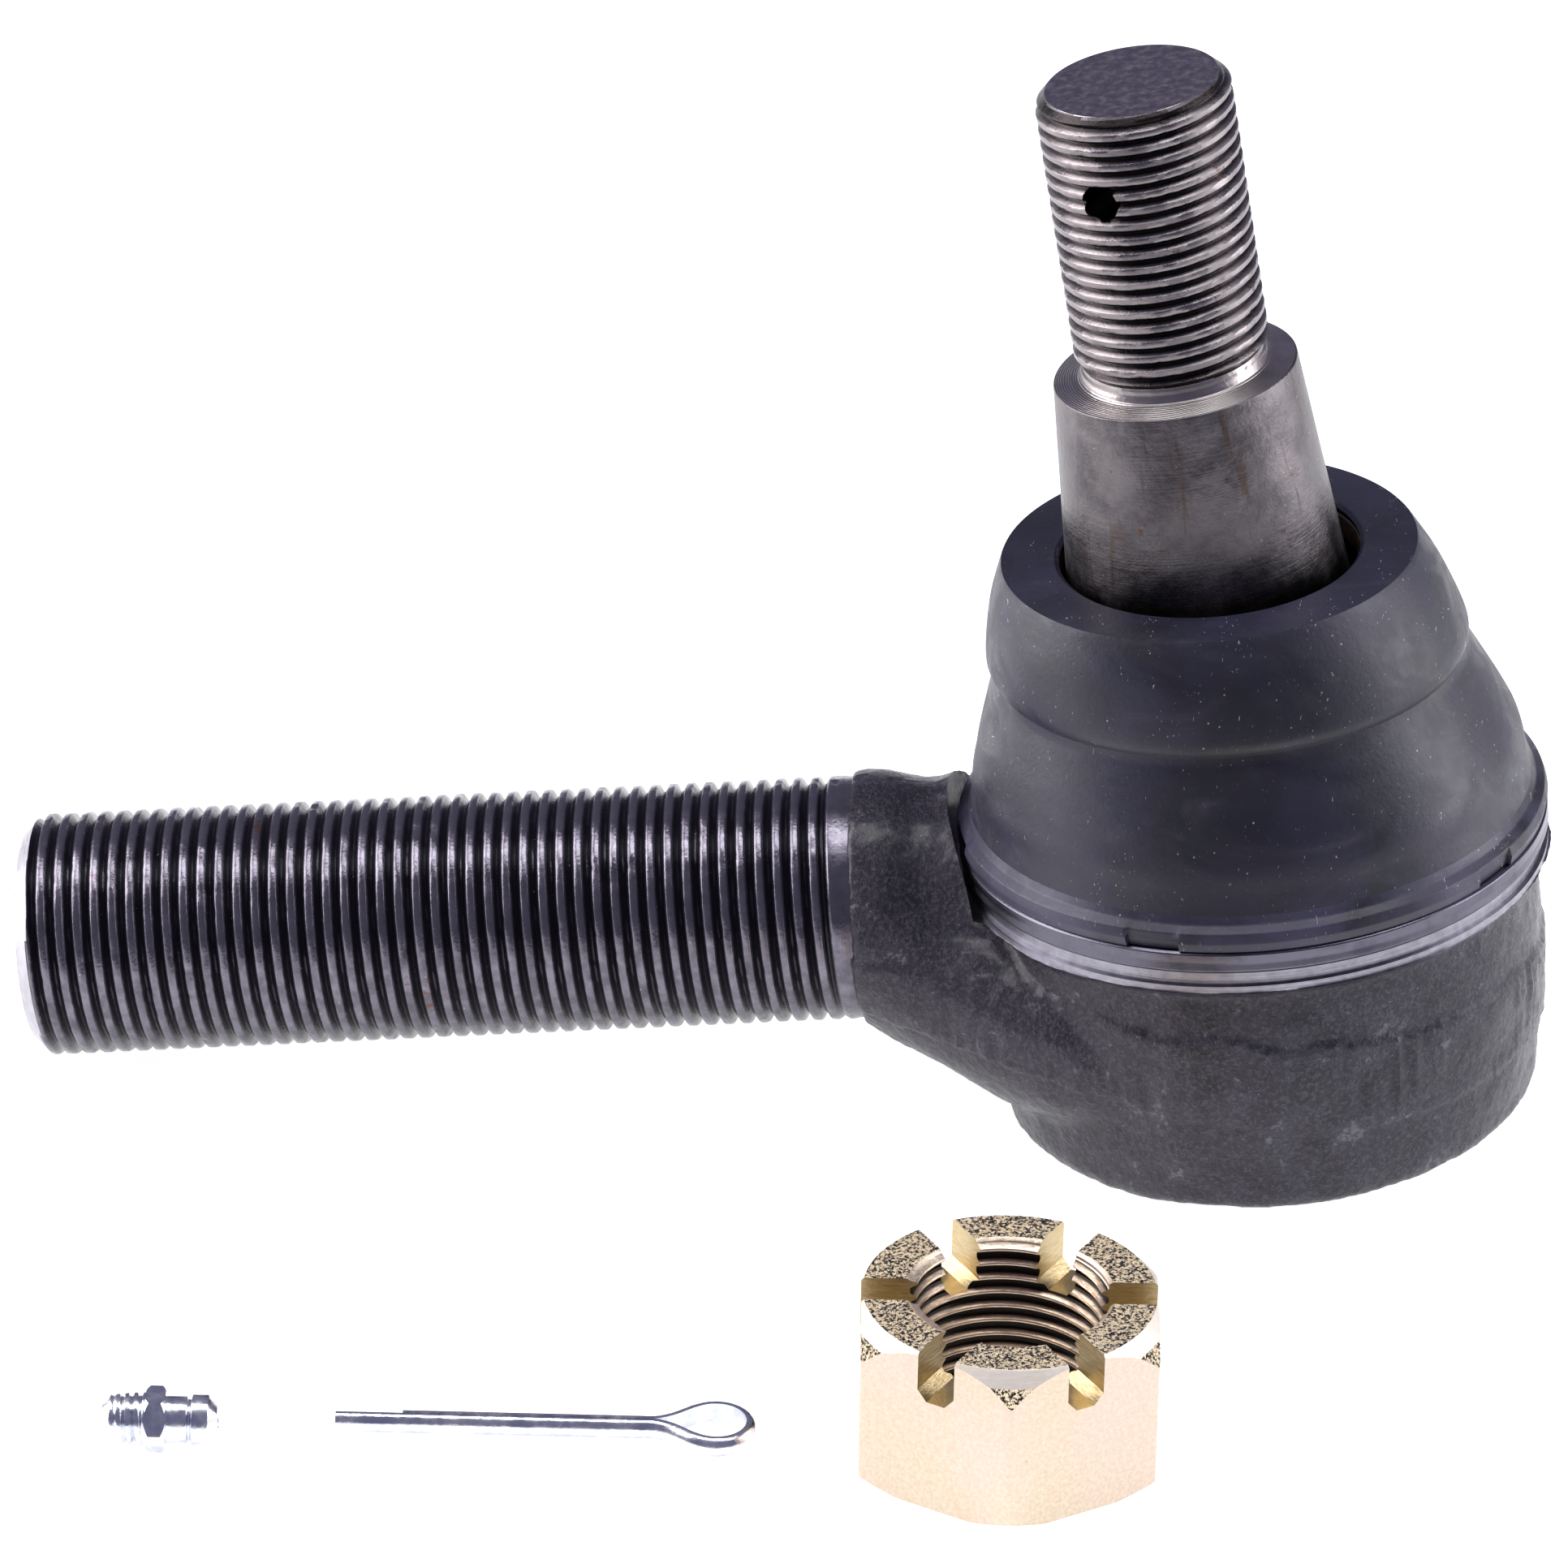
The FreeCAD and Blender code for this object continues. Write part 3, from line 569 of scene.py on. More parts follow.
def yellow_zinc():
    """Yellow-passivated zinc on smooth faces: pale gold that drifts to pink."""
    made = Finish("yellow_zinc", (0.8, 0.66, 0.45), 0.85, 0.34)
    drift = made.noise(0.07, 3.0, 0.5)
    grain = made.noise(2.2, 4.0, 0.6)
    tone = made.mix(made.span(drift, 0.35, 0.65), (0.66, 0.535, 0.375), (0.70, 0.55, 0.45))
    tone = made.mix(made.span(grain, 0.35, 0.7), tone, (0.78, 0.66, 0.54))
    pits = made.span(made.noise(0.9, 5.0, 0.7), 0.68, 0.74)
    made.color(pits, tone, (0.45, 0.36, 0.22))
    made.roughness(grain, 0.28, 0.44)
    return made.bump((grain, 0.06), (drift, 0.2))


def grainy_zinc():
    """The nut's sheared top faces: coarse dark grain with gold between."""
    made = Finish("grainy_zinc", (0.4, 0.32, 0.2), 0.9, 0.4)
    grain = made.noise(3.0, 3.0, 0.7)
    dark = made.span(grain, 0.46, 0.53, 1.0, 0.0)
    tone = made.mix(made.noise(0.3), (0.95, 0.76, 0.44), (0.92, 0.80, 0.62))
    made.color(dark, tone, (0.022, 0.019, 0.028))
    return made.bump((grain, 0.5))


def chamfer_zinc():
    """The nut's bright turned chamfer."""
    made = Finish("chamfer_zinc", (0.9, 0.84, 0.72), 0.3, 0.35)
    made.color(made.noise(1.2, 5.0, 0.6), (0.82, 0.70, 0.52), (0.97, 0.93, 0.86))
    return made.bump((made.noise((0.4, 0.4, 3.0)), 0.05))


def slot_zinc():
    """Milled slot walls in deeper golden brown, with cutter marks."""
    made = Finish("slot_zinc", (0.5, 0.38, 0.18), 0.9, 0.35)
    marks = made.noise((0.6, 0.6, 3.2), 4.0, 0.6)
    made.color(marks, (0.34, 0.25, 0.10), (0.72, 0.58, 0.34))
    return made.bump((marks, 0.12))


def bore_zinc(radius, depth):
    """The nut's thread: rose-bronze crests over grooves painted black as shade."""
    made = Finish("bore_zinc", (0.5, 0.38, 0.3), 0.95, 0.3)
    # Painted shade: the thread's grooves are coloured black inside the gold nut.
    painted_groove_shade = made.span(made.radius(), radius + 0.15 * depth, radius + 0.8 * depth)
    crest = made.mix(made.noise(1.6, 5.0, 0.7), (0.50, 0.34, 0.22), (1.0, 0.84, 0.66))
    made.color(painted_groove_shade, crest, (0.02, 0.016, 0.014))
    return made.bump((made.noise((0.8, 0.8, 3.0), 4.0, 0.6), 0.08))


def bright_zinc():
    """Blue-white zinc plate on the pin and the fitting."""
    made = Finish("bright_zinc", (0.75, 0.77, 0.82), 1.0, 0.2)
    cloud = made.noise(0.5, 4.0, 0.6)
    made.color(made.span(cloud, 0.3, 0.7), (0.62, 0.65, 0.74), (0.86, 0.87, 0.89))
    made.roughness(cloud, 0.14, 0.28)
    return made.bump((made.noise(1.5, 4.0, 0.6), 0.04))


def inner_steel(name, low, high):
    """Plain ground or pressed steel for the pieces inside."""
    made = Finish(name, high, 1.0, 0.3)
    marks = made.noise(0.9, 5.0, 0.6)
    made.color(marks, low, high)
    made.roughness(marks, 0.22, 0.42)
    return made.bump((marks, 0.05))


def cover_black():
    """The pressed end cover's satin black paint."""
    made = Finish("cover_black", (0.03, 0.03, 0.035), 0.3, 0.4)
    cloud = made.noise(0.4, 5.0, 0.6)
    made.color(made.span(cloud, 0.3, 0.7), (0.018, 0.018, 0.022), (0.045, 0.045, 0.05))
    return made.bump((made.noise(1.8, 4.0, 0.6), 0.05))


def seal_rubber():
    made = Finish("seal_rubber", (0.02, 0.02, 0.02), 0.0, 0.5)
    made.color(made.noise(1.0), (0.012, 0.012, 0.012), (0.03, 0.03, 0.03))
    return made.bump((made.noise(3.0), 0.03))


# ---- forged housing

INCH = 25.4
ROLLED_DEPTH = 0.44  # depth of a worn 60 degree thread with blunt crests, as a share of its pitch
SHANK_PITCH = INCH / 12
STUD_PITCH = INCH / 14
FITTING_PITCH = 1.0

SHANK_R, SHANK_IN, SHANK_OUT_END = thread_of(SHANK, "shank_thread")
SHANK_DEPTH = SHANK_PITCH * ROLLED_DEPTH
SHANK_CHAMFER = 1.8
STUD_R, STUD_IN, STUD_OUT_END = thread_of(STUD, "stud_thread")
STUD_DEPTH = STUD_PITCH * ROLLED_DEPTH
STUD_CHAMFER = 1.3

COLLAR_R = 34.1
COLLAR_BOTTOM = 9.75
GROOVE_BOTTOM = 10.6
COLLAR_TOP = 12.2
BODY_R = 32.2
FOOT = -20.8
RECESS_R = 24.1
CLIP_GROOVE_R = 25.4
BEARING_BORE = 21.5
MOUTH_R = 15.5
MOUTH_FLARE = 17.5
FLASH_LOWER = -11.5
FLASH_UPPER = -1.5
LOWER_RISE = 9.0  # how far the flash's edges climb from the front to the neck
UPPER_RISE = 7.0


def neck_ring(mesh, reach, width, top, bottom, power):
    """A rounded section across the neck, at a reach from the ball towards the shank's end."""
    ring = []
    middle, half = (top + bottom) / 2, (top - bottom) / 2
    for angle in even_angles(72):
        c, s = math.cos(angle), math.sin(angle)
        y = width * math.copysign(abs(c) ** power, c)
        z = middle + half * math.copysign(abs(s) ** power, s)
        ring.append(mesh.verts.new(Vector((-reach, y, z)) * MM))
    return ring


def neck_loft(name, stations):
    """A closed skin through neck sections of (reach, half width, top, bottom, corner power)."""
    mesh = bmesh.new()
    add_tube(mesh, [neck_ring(mesh, *station) for station in curve_through(stations, 8)])
    return to_object(mesh, name)


def flash_lines(bearing):
    """The levels of the trimmed flash's two edges round the body, at an angle from +x."""
    towards_neck = 0.5 - 0.5 * math.cos(bearing)
    ragged = 0.9 * noise.noise(polar(4, bearing, 3.0)) + 0.35 * noise.noise(polar(17, bearing, 7.0))
    lower = FLASH_LOWER + LOWER_RISE * towards_neck**2 + ragged
    upper = FLASH_UPPER + UPPER_RISE * towards_neck + 1.3 * ragged
    return lower, upper


def smoothstep(low, high, value):
    t = min(1.0, max(0.0, (value - low) / (high - low)))
    return t * t * (3 - 2 * t)


def forged_skin(spot, normal):
    """How far the forging's skin stands off its smooth shape: lumps, scale and the trimmed flash."""
    lumps = 0.22 * noise.noise(spot * 0.16) + 0.10 * noise.noise(spot * 0.45)
    scale = 0.09 * noise.noise(spot * 1.1)
    side = math.hypot(normal.x, normal.y)
    bearing = math.atan2(spot.y, spot.x)
    lower, upper = flash_lines(bearing)
    above_lower = smoothstep(lower - 0.35, lower + 0.35, spot.z)
    above_upper = smoothstep(upper - 0.4, upper + 0.4, spot.z)
    band = above_lower * (1 - above_upper)
    around = bearing * BODY_R
    shear = noise.noise(Vector((around * 1.1, spot.z * 0.10, 0.0)))
    torn = smoothstep(-0.25, 0.35, noise.noise(Vector((around * 0.07, spot.z * 0.07, 5.0))))
    flash = side * band * (0.36 + 0.42 * shear * torn)
    return lumps + scale + flash


def make_forging():
    """The housing's forging: body and neck in one rough skin, then turned and bored."""
    body = lathe(
        "socket_forging",
        outline([
            (0, FOOT - 0.15), (30.3, FOOT - 0.15), (31.2, -19.6), (32.1, -12.0), (32.75, -4.0),
            (32.7, 3.0), (BODY_R, 8.6), (34.9, 10.0), (34.9, 13.2), (0, 13.2),
        ]),
    )
    shank_root = (46.6, 14.9, SHANK_HEIGHT + 14.8, SHANK_HEIGHT - 14.8, 1.0)
    wedge = neck_loft(
        "neck_wedge",
        [
            (8.0, 30.0, 8.4, -19.0, 0.85), (20.0, 27.5, 8.8, -18.6, 0.85),
            (30.0, 22.8, 10.6, -16.4, 0.88), (38.0, 17.8, 13.5, -13.2, 0.94), shank_root,
        ],
    )
    saddle = neck_loft(
        "neck_saddle",
        [
            (20.0, 15.6, 21.4, 0.0, 0.9), (30.0, 14.6, 21.0, -4.0, 0.95),
            (34.5, 13.9, 20.1, -6.0, 1.0), (38.0, 13.6, 19.6, -7.4, 1.0),
            (42.5, 14.6, 20.8, -8.2, 1.0), shank_root,
        ],
    )
    for tool in (wedge, saddle):
        combine(body, tool, "UNION")
    remesh(body)
    normals = [vertex.normal.copy() for vertex in body.data.vertices]
    for vertex, normal in zip(body.data.vertices, normals):
        vertex.co += normal * forged_skin(vertex.co / MM, normal) * MM
        vertex.co.z = max(vertex.co.z, FOOT * MM)
    machined = lathe(
        "machining",
        outline([
            (0, COLLAR_TOP), (COLLAR_R - 0.5, COLLAR_TOP), (COLLAR_R - 0.5, GROOVE_BOTTOM),
            (COLLAR_R, GROOVE_BOTTOM), (COLLAR_R, COLLAR_BOTTOM), (35.3, COLLAR_BOTTOM),
            (35.3, 30.0), (0, 30.0),
        ]),
        240,
    )
    cavity = lathe(
        "cavity",
        outline([
            (0, FOOT - 3.0), (25.3, FOOT - 3.0), (RECESS_R, FOOT + 0.6), (RECESS_R, -20.2),
            (CLIP_GROOVE_R, -20.2), (CLIP_GROOVE_R, -19.2), (RECESS_R, -19.2), (RECESS_R, -18.0),
            (BEARING_BORE, -18.0), (BEARING_BORE, 9.2), (MOUTH_R, 9.2), (MOUTH_R, 10.2),
            (MOUTH_FLARE, 13.2), (MOUTH_FLARE, 14.0), (0, 14.0),
        ]),
        160,
    )
    machined_slot = 1
    paint(body, forging_black(), turned_steel())
    for tool in (machined, cavity):
        paint(tool, *body.data.materials)
        paint_where(tool, machined_slot, lambda spot, normal: spot.z < COLLAR_TOP + 0.1)
        combine(body, tool, "DIFFERENCE")
    put(body, HOUSING, "housing", ["socket_housing"], sharp=40)


def make_shank():
    """The shank: its thread, a plain run-out at the neck, and a chamfered and faced end."""
    mesh = bmesh.new()
    angles = even_angles(112)
    tip = SHANK_OUT_END + SHANK_CHAMFER
    thread_in = SHANK_IN + 0.7

    def limit(z):
        fade = smoothstep(thread_in, thread_in + 1.3 * SHANK_PITCH, z)
        return SHANK_R + min(0.0, tip - SHANK_CHAMFER - z), fade

    add_thread(mesh, SHANK_R, SHANK_PITCH, SHANK_DEPTH, thread_in, tip, limit, angles, wear=0.35)
    plain_r, buried = SHANK_R - 0.1, SHANK_IN - 4
    run_out = [(0, buried), (plain_r, buried), (plain_r, thread_in - 0.4), (SHANK_R, thread_in)]
    add_rings(mesh, run_out, angles)
    add_rings(mesh, [(SHANK_R - SHANK_CHAMFER, tip), (2.2, tip), (2.0, tip - 0.8), (0, tip - 1.6)], angles)
    shank = to_object(mesh, "shank_thread")
    paint(shank, thread_black(SHANK_R, SHANK_DEPTH), bare_face())
    bare_slot, bare_from = 1, tip - 0.85 * SHANK_CHAMFER
    paint_where(shank, bare_slot, lambda spot, normal: spot.z > bare_from and normal.z > 0.3)
    put(shank, SHANK, "housing", sharp=50)


# ---- boot and its rings

RING_TOP = 15.0
BOOT_LEAN = 2.67
BOOT_HOLE = 17.3
BOOT_TOP = 49.3
LEAN_START = 25.0  # height where the bell starts to lean with the stud


def make_base_ring():
    """The bright steel band that clamps the boot's foot on the collar."""
    ring = lathe(
        "boot_ring",
        outline([
            (27.0, COLLAR_TOP + 0.05), (33.9, COLLAR_TOP + 0.05, 0.2),
            (34.3, COLLAR_TOP + 0.5, 0.3), (34.15, 13.6, 1.5), (34.3, RING_TOP - 0.25, 0.2),
            (33.9, RING_TOP, 0.15), (27.0, RING_TOP),
        ], closed=True),
        240,
        closed=True,
    )
    paint(ring, ring_steel())
    put(ring, HOUSING, "housing", ["boot_base_ring"])


def rim_angles(notches, half_width):
    """Even angles, with a pair more at both edges of each notch so that its ends are crisp."""
    edge = math.radians(0.12)
    angles = even_angles(180)
    for notch in notches:
        for side in (-1, 1):
            corner = notch + side * half_width
            angles += [corner - edge, corner + edge]
    return sorted(angle % TURN for angle in angles)


def make_boot_rim():
    """The boot's moulded rim, clamped on the steel ring, with four shallow rectangular notches."""
    front = math.radians(-90)
    notches = [front + math.radians(turn) for turn in (-18, 56, -79, 146)]
    half_width = math.radians(5.2)
    angles = rim_angles(notches, half_width)
    mesh = bmesh.new()
    rows = outline([
        (28.2, RING_TOP), (34.1, RING_TOP, 0.2), (34.4, 16.2, 0.5), (34.1, 17.3, 0.4),
        (33.1, 18.0, 0.8), (32.6, 19.0), (32.0, 20.2), (30.0, 20.2), (28.2, 17.5),
    ], closed=True)
    add_rings(mesh, rows, angles, closed=True)
    for vertex in mesh.verts:
        spot = vertex.co / MM
        bearing = math.atan2(spot.y, spot.x)
        gap = min(abs((bearing - notch + math.pi) % TURN - math.pi) for notch in notches)
        reach = math.hypot(spot.x, spot.y)
        if gap < half_width and reach > 33.6:
            drop = 0.55 if spot.z < 17.0 else 0.1
            vertex.co.x *= (reach - drop) / reach
            vertex.co.y *= (reach - drop) / reach
    rim = to_object(mesh, "boot_rim")
    # The rim's rubber is a lighter copy of the bell's: its brighter bluish tone is partly a painted sheen
    # on the bead.
    paint(rim, boot_rubber("boot_rim_rubber", (0.045, 0.041, 0.078)))
    put(rim, HOUSING, "housing")


def make_boot_skin():
    """The bell of the boot: a bell-shaped skirt, a shallow step and a thick flat top round the stud."""

    def row(r, z):
        return (r, z, -BOOT_LEAN * min(1.0, max(0.0, (z - LEAN_START) / (BOOT_TOP - LEAN_START))))

    skirt = curve_through(
        [(32.65, 18.9), (32.2, 21.2), (31.75, 24.0), (30.5, 27.8), (28.9, 31.8), (27.45, 35.4)]
    )
    shoulder = curve_through(
        [(27.3, 36.3), (27.75, 37.3), (27.7, 38.6), (27.0, 41.5), (25.9, 45.0), (24.1, 49.0)]
    )
    top = [(23.9, BOOT_TOP), (BOOT_HOLE + 0.5, BOOT_TOP), (BOOT_HOLE, BOOT_TOP - 0.4), (BOOT_HOLE, 48.3)]
    inside = [
        (19.7, 48.4), (19.7, 45.2), (20.5, 42.5), (23.4, 38.0), (24.4, 36.0), (26.2, 32.5),
        (28.1, 28.5), (29.1, 25.0), (29.4, 21.5), (29.4, 18.9),
    ]
    rows = [row(r, z) for r, z in [*skirt, *shoulder, *top, *inside]]
    mesh = bmesh.new()
    add_rings(mesh, rows, even_angles(192), closed=True)
    skin = to_object(mesh, "boot_bell")
    paint(skin, boot_rubber("boot_bell_rubber", (0.019, 0.018, 0.037)))
    shade(skin, 25)
    skin.matrix_world = HOUSING
    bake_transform(skin)
    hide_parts("dust_boot")


def make_lip_ring():
    """The steel ring inside the boot's lip, leaning with it."""
    lip = lathe(
        "lip_ring",
        outline([
            (BOOT_HOLE, 45.3, 0.3), (19.5, 45.3, 0.3), (19.5, 48.25, 0.3),
            (BOOT_HOLE, 48.25, 0.3),
        ], closed=True),
        closed=True,
    )
    turn_mesh(lip, Matrix.Translation((-BOOT_LEAN * MM, 0, 0)))
    paint(lip, lip_steel())
    put(lip, HOUSING, "boot_lip", ["boot_lip_ring"])


# ---- ball stud

BALL_R = 16.0
TAPER_START = 44.0
TAPER_END = 72.7
TAPER_END_R = 13.95


def make_stud():
    """Ball, neck, one-in-six taper, turned shoulder, rolled thread and the cotter pin's cross hole."""
    taper_start_r = TAPER_END_R + (TAPER_END - TAPER_START) / 12
    neck_r = 9.5
    neck_lift = math.sqrt(BALL_R**2 - neck_r**2)
    ball = []
    first, last = -math.pi / 2, math.asin(neck_lift / BALL_R)
    for step in range(49):
        angle = first + (last - first) * step / 48
        ball.append((BALL_R * math.cos(angle), BALL_R * math.sin(angle)))
    ball[0] = (0, -BALL_R)
    below = outline([
        (neck_r, neck_lift + 0.01), (neck_r, 32.0, 6.0),
        (TAPER_END_R + 1.4, TAPER_START - 1.8, 1.2), (taper_start_r, TAPER_START),
        (TAPER_END_R, TAPER_END - 0.25, 0.25), (10.9, TAPER_END + 0.15, 0.8),
        (STUD_R - STUD_DEPTH, STUD_IN - 1.0),
    ])
    tip = STUD_OUT_END + STUD_CHAMFER
    thread_in = STUD_IN - 1.0
    angles = even_angles(112)
    mesh = bmesh.new()
    add_rings(mesh, [*ball, *below], angles)

    def limit(z):
        rise = smoothstep(thread_in, thread_in + 1.2, z)
        root = STUD_R - STUD_DEPTH * (1 - rise)
        return min(root, STUD_R + (tip - STUD_CHAMFER - z)), 1.0

    add_thread(mesh, STUD_R, STUD_PITCH, STUD_DEPTH, thread_in, tip, limit, angles, wear=0.3)
    add_rings(mesh, [(STUD_R - STUD_CHAMFER, tip), (0, tip)], angles)
    stud = to_object(mesh, "ball_stud_detail")
    thread = stud_thread_steel(STUD_R, STUD_DEPTH)
    top = inner_steel("stud_top_steel", (0.16, 0.14, 0.155), (0.46, 0.41, 0.445))
    paint(stud, stud_steel(), thread, shoulder_steel(), top)
    thread_slot, shoulder_slot, top_slot = 1, 2, 3
    paint_where(stud, thread_slot, lambda spot, normal: thread_in + 0.1 < spot.z < tip - 0.2)
    paint_where(stud, shoulder_slot, lambda spot, normal: TAPER_END - 0.15 < spot.z < thread_in + 0.1)
    paint_where(stud, top_slot, lambda spot, normal: spot.z > tip - 0.05)
    hole_at = in_mm(STUD, "cotter_hole")
    across = STUD.inverted().to_3x3() @ Vector(MOUNTS["cotter_hole"]["axis"])
    hole_r = MOUNTS["cotter_hole"]["dims"]["r_mm"]
    drill = lathe("drill", outline([(0, -14), (hole_r, -14), (hole_r, 14), (0, 14)]), 40)
    turn_mesh(drill, facing(across, (0, 0, 1), hole_at * MM))
    paint(drill, thread)
    combine(stud, drill, "DIFFERENCE")
    put(stud, STUD, "stud", ["ball_stud"], sharp=40)


# ---- underside

COVER_TOP = -18.0
COVER_RIM = -19.2
CLIP_BOTTOM = -20.2
CLIP_INNER = 22.2
CLIP_OUTER = 25.3
CLIP_EYE_R = 0.9
EYE_CENTRE_R = 22.6


def make_cover():
    """The pressed end cover, domed, with a threaded grease port in its middle."""
    port_r = MOUNTS["grease_port"]["dims"]["r_mm"]
    depth = FITTING_PITCH * ROLLED_DEPTH
    wall_r = port_r + depth
    angles = even_angles(96)
    mesh = bmesh.new()
    shell = outline([
        (wall_r, -23.0), (port_r + 2.6, -23.0, 1.5), (12.0, -22.3, 12.0),
        (20.4, COVER_RIM, 2.0), (23.6, COVER_RIM, 0.2), (24.0, COVER_RIM + 0.4, 0.2),
        (24.0, COVER_TOP), (17.5, COVER_TOP, 1.5), (6.0, -19.4, 0.8), (4.6, -18.8, 0.5),
        (4.6, -17.4, 0.4), (wall_r, -17.4),
    ])
    add_rings(mesh, shell, angles)

    def limit(z):
        return wall_r, 1.0 if -22.9 < z < -17.5 else 0.0

    add_thread(mesh, wall_r, FITTING_PITCH, depth, -23.0, -17.4, limit, angles)
    cover = to_object(mesh, "end_cover_pressing")
    paint(cover, cover_black())
    put(cover, HOUSING, "housing", ["end_cover"])


def make_snap_ring():
    """An internal snap ring: a flat band that grows towards its two eyes."""
    mesh = bmesh.new()
    open_half = math.radians(17.5)
    steps = 120
    top = COVER_RIM - 0.02
    sections = []
    for step in range(steps + 1):
        share = step / steps
        bearing = math.pi + open_half + (TURN - 2 * open_half) * share
        near_eye = smoothstep(0.46, 0.5, abs(share - 0.5))
        inner = CLIP_INNER - 1.6 * near_eye - 0.3 * math.sin(math.pi * share)
        corners = [(inner, CLIP_BOTTOM, 0.15), (CLIP_OUTER, CLIP_BOTTOM), (CLIP_OUTER, top), (inner, top)]
        section = []
        for r, z in outline(corners, closed=True, steps=3):
            section.append(mesh.verts.new(polar(r, bearing, z) * MM))
        sections.append(section)
    add_tube(mesh, sections)
    ring = to_object(mesh, "snap_ring")
    for side in (-1, 1):
        bearing = math.pi + side * (open_half + math.radians(4.5))
        eye = lathe("eye", [(0, -22), (CLIP_EYE_R, -22), (CLIP_EYE_R, -18), (0, -18)], 32)
        turn_mesh(eye, Matrix.Translation(polar(EYE_CENTRE_R, bearing) * MM))
        combine(ring, eye, "DIFFERENCE")
    paint(ring, inner_steel("snap_ring_steel", (0.10, 0.10, 0.11), (0.22, 0.22, 0.24)))
    put(ring, HOUSING, "housing", ["cover_snap_ring"])


def finish_inner_nodes():
    """The pieces inside keep their CAD shape and get a finish."""
    bearing = inner_steel("bearing_steel", (0.22, 0.21, 0.21), (0.42, 0.41, 0.40))
    spring = inner_steel("spring_steel", (0.10, 0.10, 0.12), (0.26, 0.26, 0.30))
    finishes = {
        "upper_bearing": bearing,
        "lower_bearing": bearing,
        "preload_spring": spring,
        "cover_seal_ring": seal_rubber(),
        "fitting_check_ball": bearing,
    }
    for node, material in finishes.items():
        paint(frame["nodes"][node], material)
    make_check_coil(spring)


def make_check_coil(material):
    """The coil behind the fitting's check ball, copied from the CAD coil with a mesh of its own; nothing
    here shortens it as the ball goes in.
    """
    node = frame["nodes"]["fitting_check_spring"]
    coil = add_object("check_coil", node.data.copy())
    paint(coil, material)
    put(coil, node.matrix_world.copy(), "fitting", ["fitting_check_spring"])
    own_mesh(coil)


# ---- castle nut

NUT_FLATS = 32.6
NUT_TURN = math.radians(3.5)
NUT_BORE = 10.35
CROWN_R = 16.15
SHEARED, CHAMFERED, SLOTTED, BORED = range(1, 5)  # the nut's material slots after the flats' own
SLOT_WIDTH = 4.5
SLOT_DEPTH = 6.1


def hexagon(across_flats):
    reach = across_flats / math.sqrt(3)
    return [(reach * math.cos(angle), reach * math.sin(angle)) for angle in even_angles(6)]


def slot_tool(turn, height):
    """A slot right across the nut, with a faceted round bottom."""
    half = SLOT_WIDTH / 2
    bottom = height - SLOT_DEPTH
    section = [
        (-half, height + 1), (-half, bottom + 0.62 * half), (-0.5 * half, bottom + 0.05 * half),
        (0.5 * half, bottom + 0.05 * half), (half, bottom + 0.62 * half), (half, height + 1),
    ]
    mesh = bmesh.new()
    ends = []
    for x in (-NUT_FLATS, NUT_FLATS):
        ends.append([mesh.verts.new(Vector((x, y, z)) * MM) for y, z in section])
    add_tube(mesh, ends)
    tool = to_object(mesh, "slot_tool")
    return turn_mesh(tool, Matrix.Rotation(turn, 4, "Z"))


def make_nut():
    """The castle nut: hexagon, turned crown, tapped bore and six slots cut as three."""
    low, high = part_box("castle_nut")
    height = (high.z - low.z) / MM
    pitch, depth = STUD_PITCH, STUD_DEPTH
    finishes = [yellow_zinc(), grainy_zinc(), chamfer_zinc(), slot_zinc(), bore_zinc(NUT_BORE, depth)]
    nut = prism("castle_nut_detail", hexagon(NUT_FLATS), -1, height + 1)
    bevel = nut.modifiers.new("edges", "BEVEL")
    bevel.width = 0.35 * MM
    bevel.segments = 2
    bevel.limit_method = "ANGLE"
    apply_modifiers(nut)
    paint(nut, *finishes)
    crown = lathe(
        "crown",
        outline([
            (0, 0), (16.9, 0, 0.5), (19.3, 1.5), (19.3, height - 4.6),
            (17.6, height - 1.6, 0.3), (CROWN_R, height, 0.25), (0, height),
        ]),
        192,
    )
    paint(crown, *finishes)

    def on_corner(spot, normal):
        return 0.2 < normal.z <= 0.56 and height - 5.5 < spot.z < height - 1.7

    paint_where(crown, SHEARED, lambda spot, normal: normal.z > 0.9)
    paint_where(crown, CHAMFERED, lambda spot, normal: 0.45 < normal.z <= 0.9)
    paint_where(crown, SHEARED, on_corner)
    combine(nut, crown, "INTERSECT")
    angles = even_angles(112)
    mesh = bmesh.new()
    major_r = NUT_BORE + depth
    mouth_r = major_r + 0.1

    def limit(z):
        return mouth_r, 1.0 if 1.2 < z < height - 0.4 else 0.0

    add_thread(mesh, major_r, pitch, depth, 0.0, height - 0.3, limit, angles)
    add_rings(mesh, [(0, -1.2), (major_r + 1.2, -1.2), (major_r, 0.0)], angles)
    add_rings(
        mesh,
        [
            (major_r, height - 0.3), (mouth_r, height - 0.2), (mouth_r + 0.6, height + 0.2),
            (mouth_r + 0.6, height + 1.5), (0, height + 1.5),
        ],
        angles,
    )
    tap = to_object(mesh, "tap")
    paint(tap, *finishes)
    paint_where(tap, BORED, lambda spot, normal: spot.z < height - 0.9)
    combine(nut, tap, "DIFFERENCE")
    for turn in (30, 90, 150):
        tool = slot_tool(math.radians(turn), height)
        paint(tool, *finishes)
        paint_where(tool, SLOTTED, lambda spot, normal: True)
        combine(nut, tool, "DIFFERENCE")
    middle = (low + high) / 2
    turn = Matrix.Rotation(NUT_TURN + math.radians(30), 4, "Z")
    place = Matrix.Translation((middle.x, middle.y, low.z)) @ turn
    put(nut, place, "nut", ["castle_nut"], sharp=30)


# ---- cotter pin

PIN_R = 1.25
PIN_TURN = math.radians(3)
PIN_LONG = 36.4
PIN_SHORT = 29.0
EYE_R = 3.37
EYE_REACH = 9.0


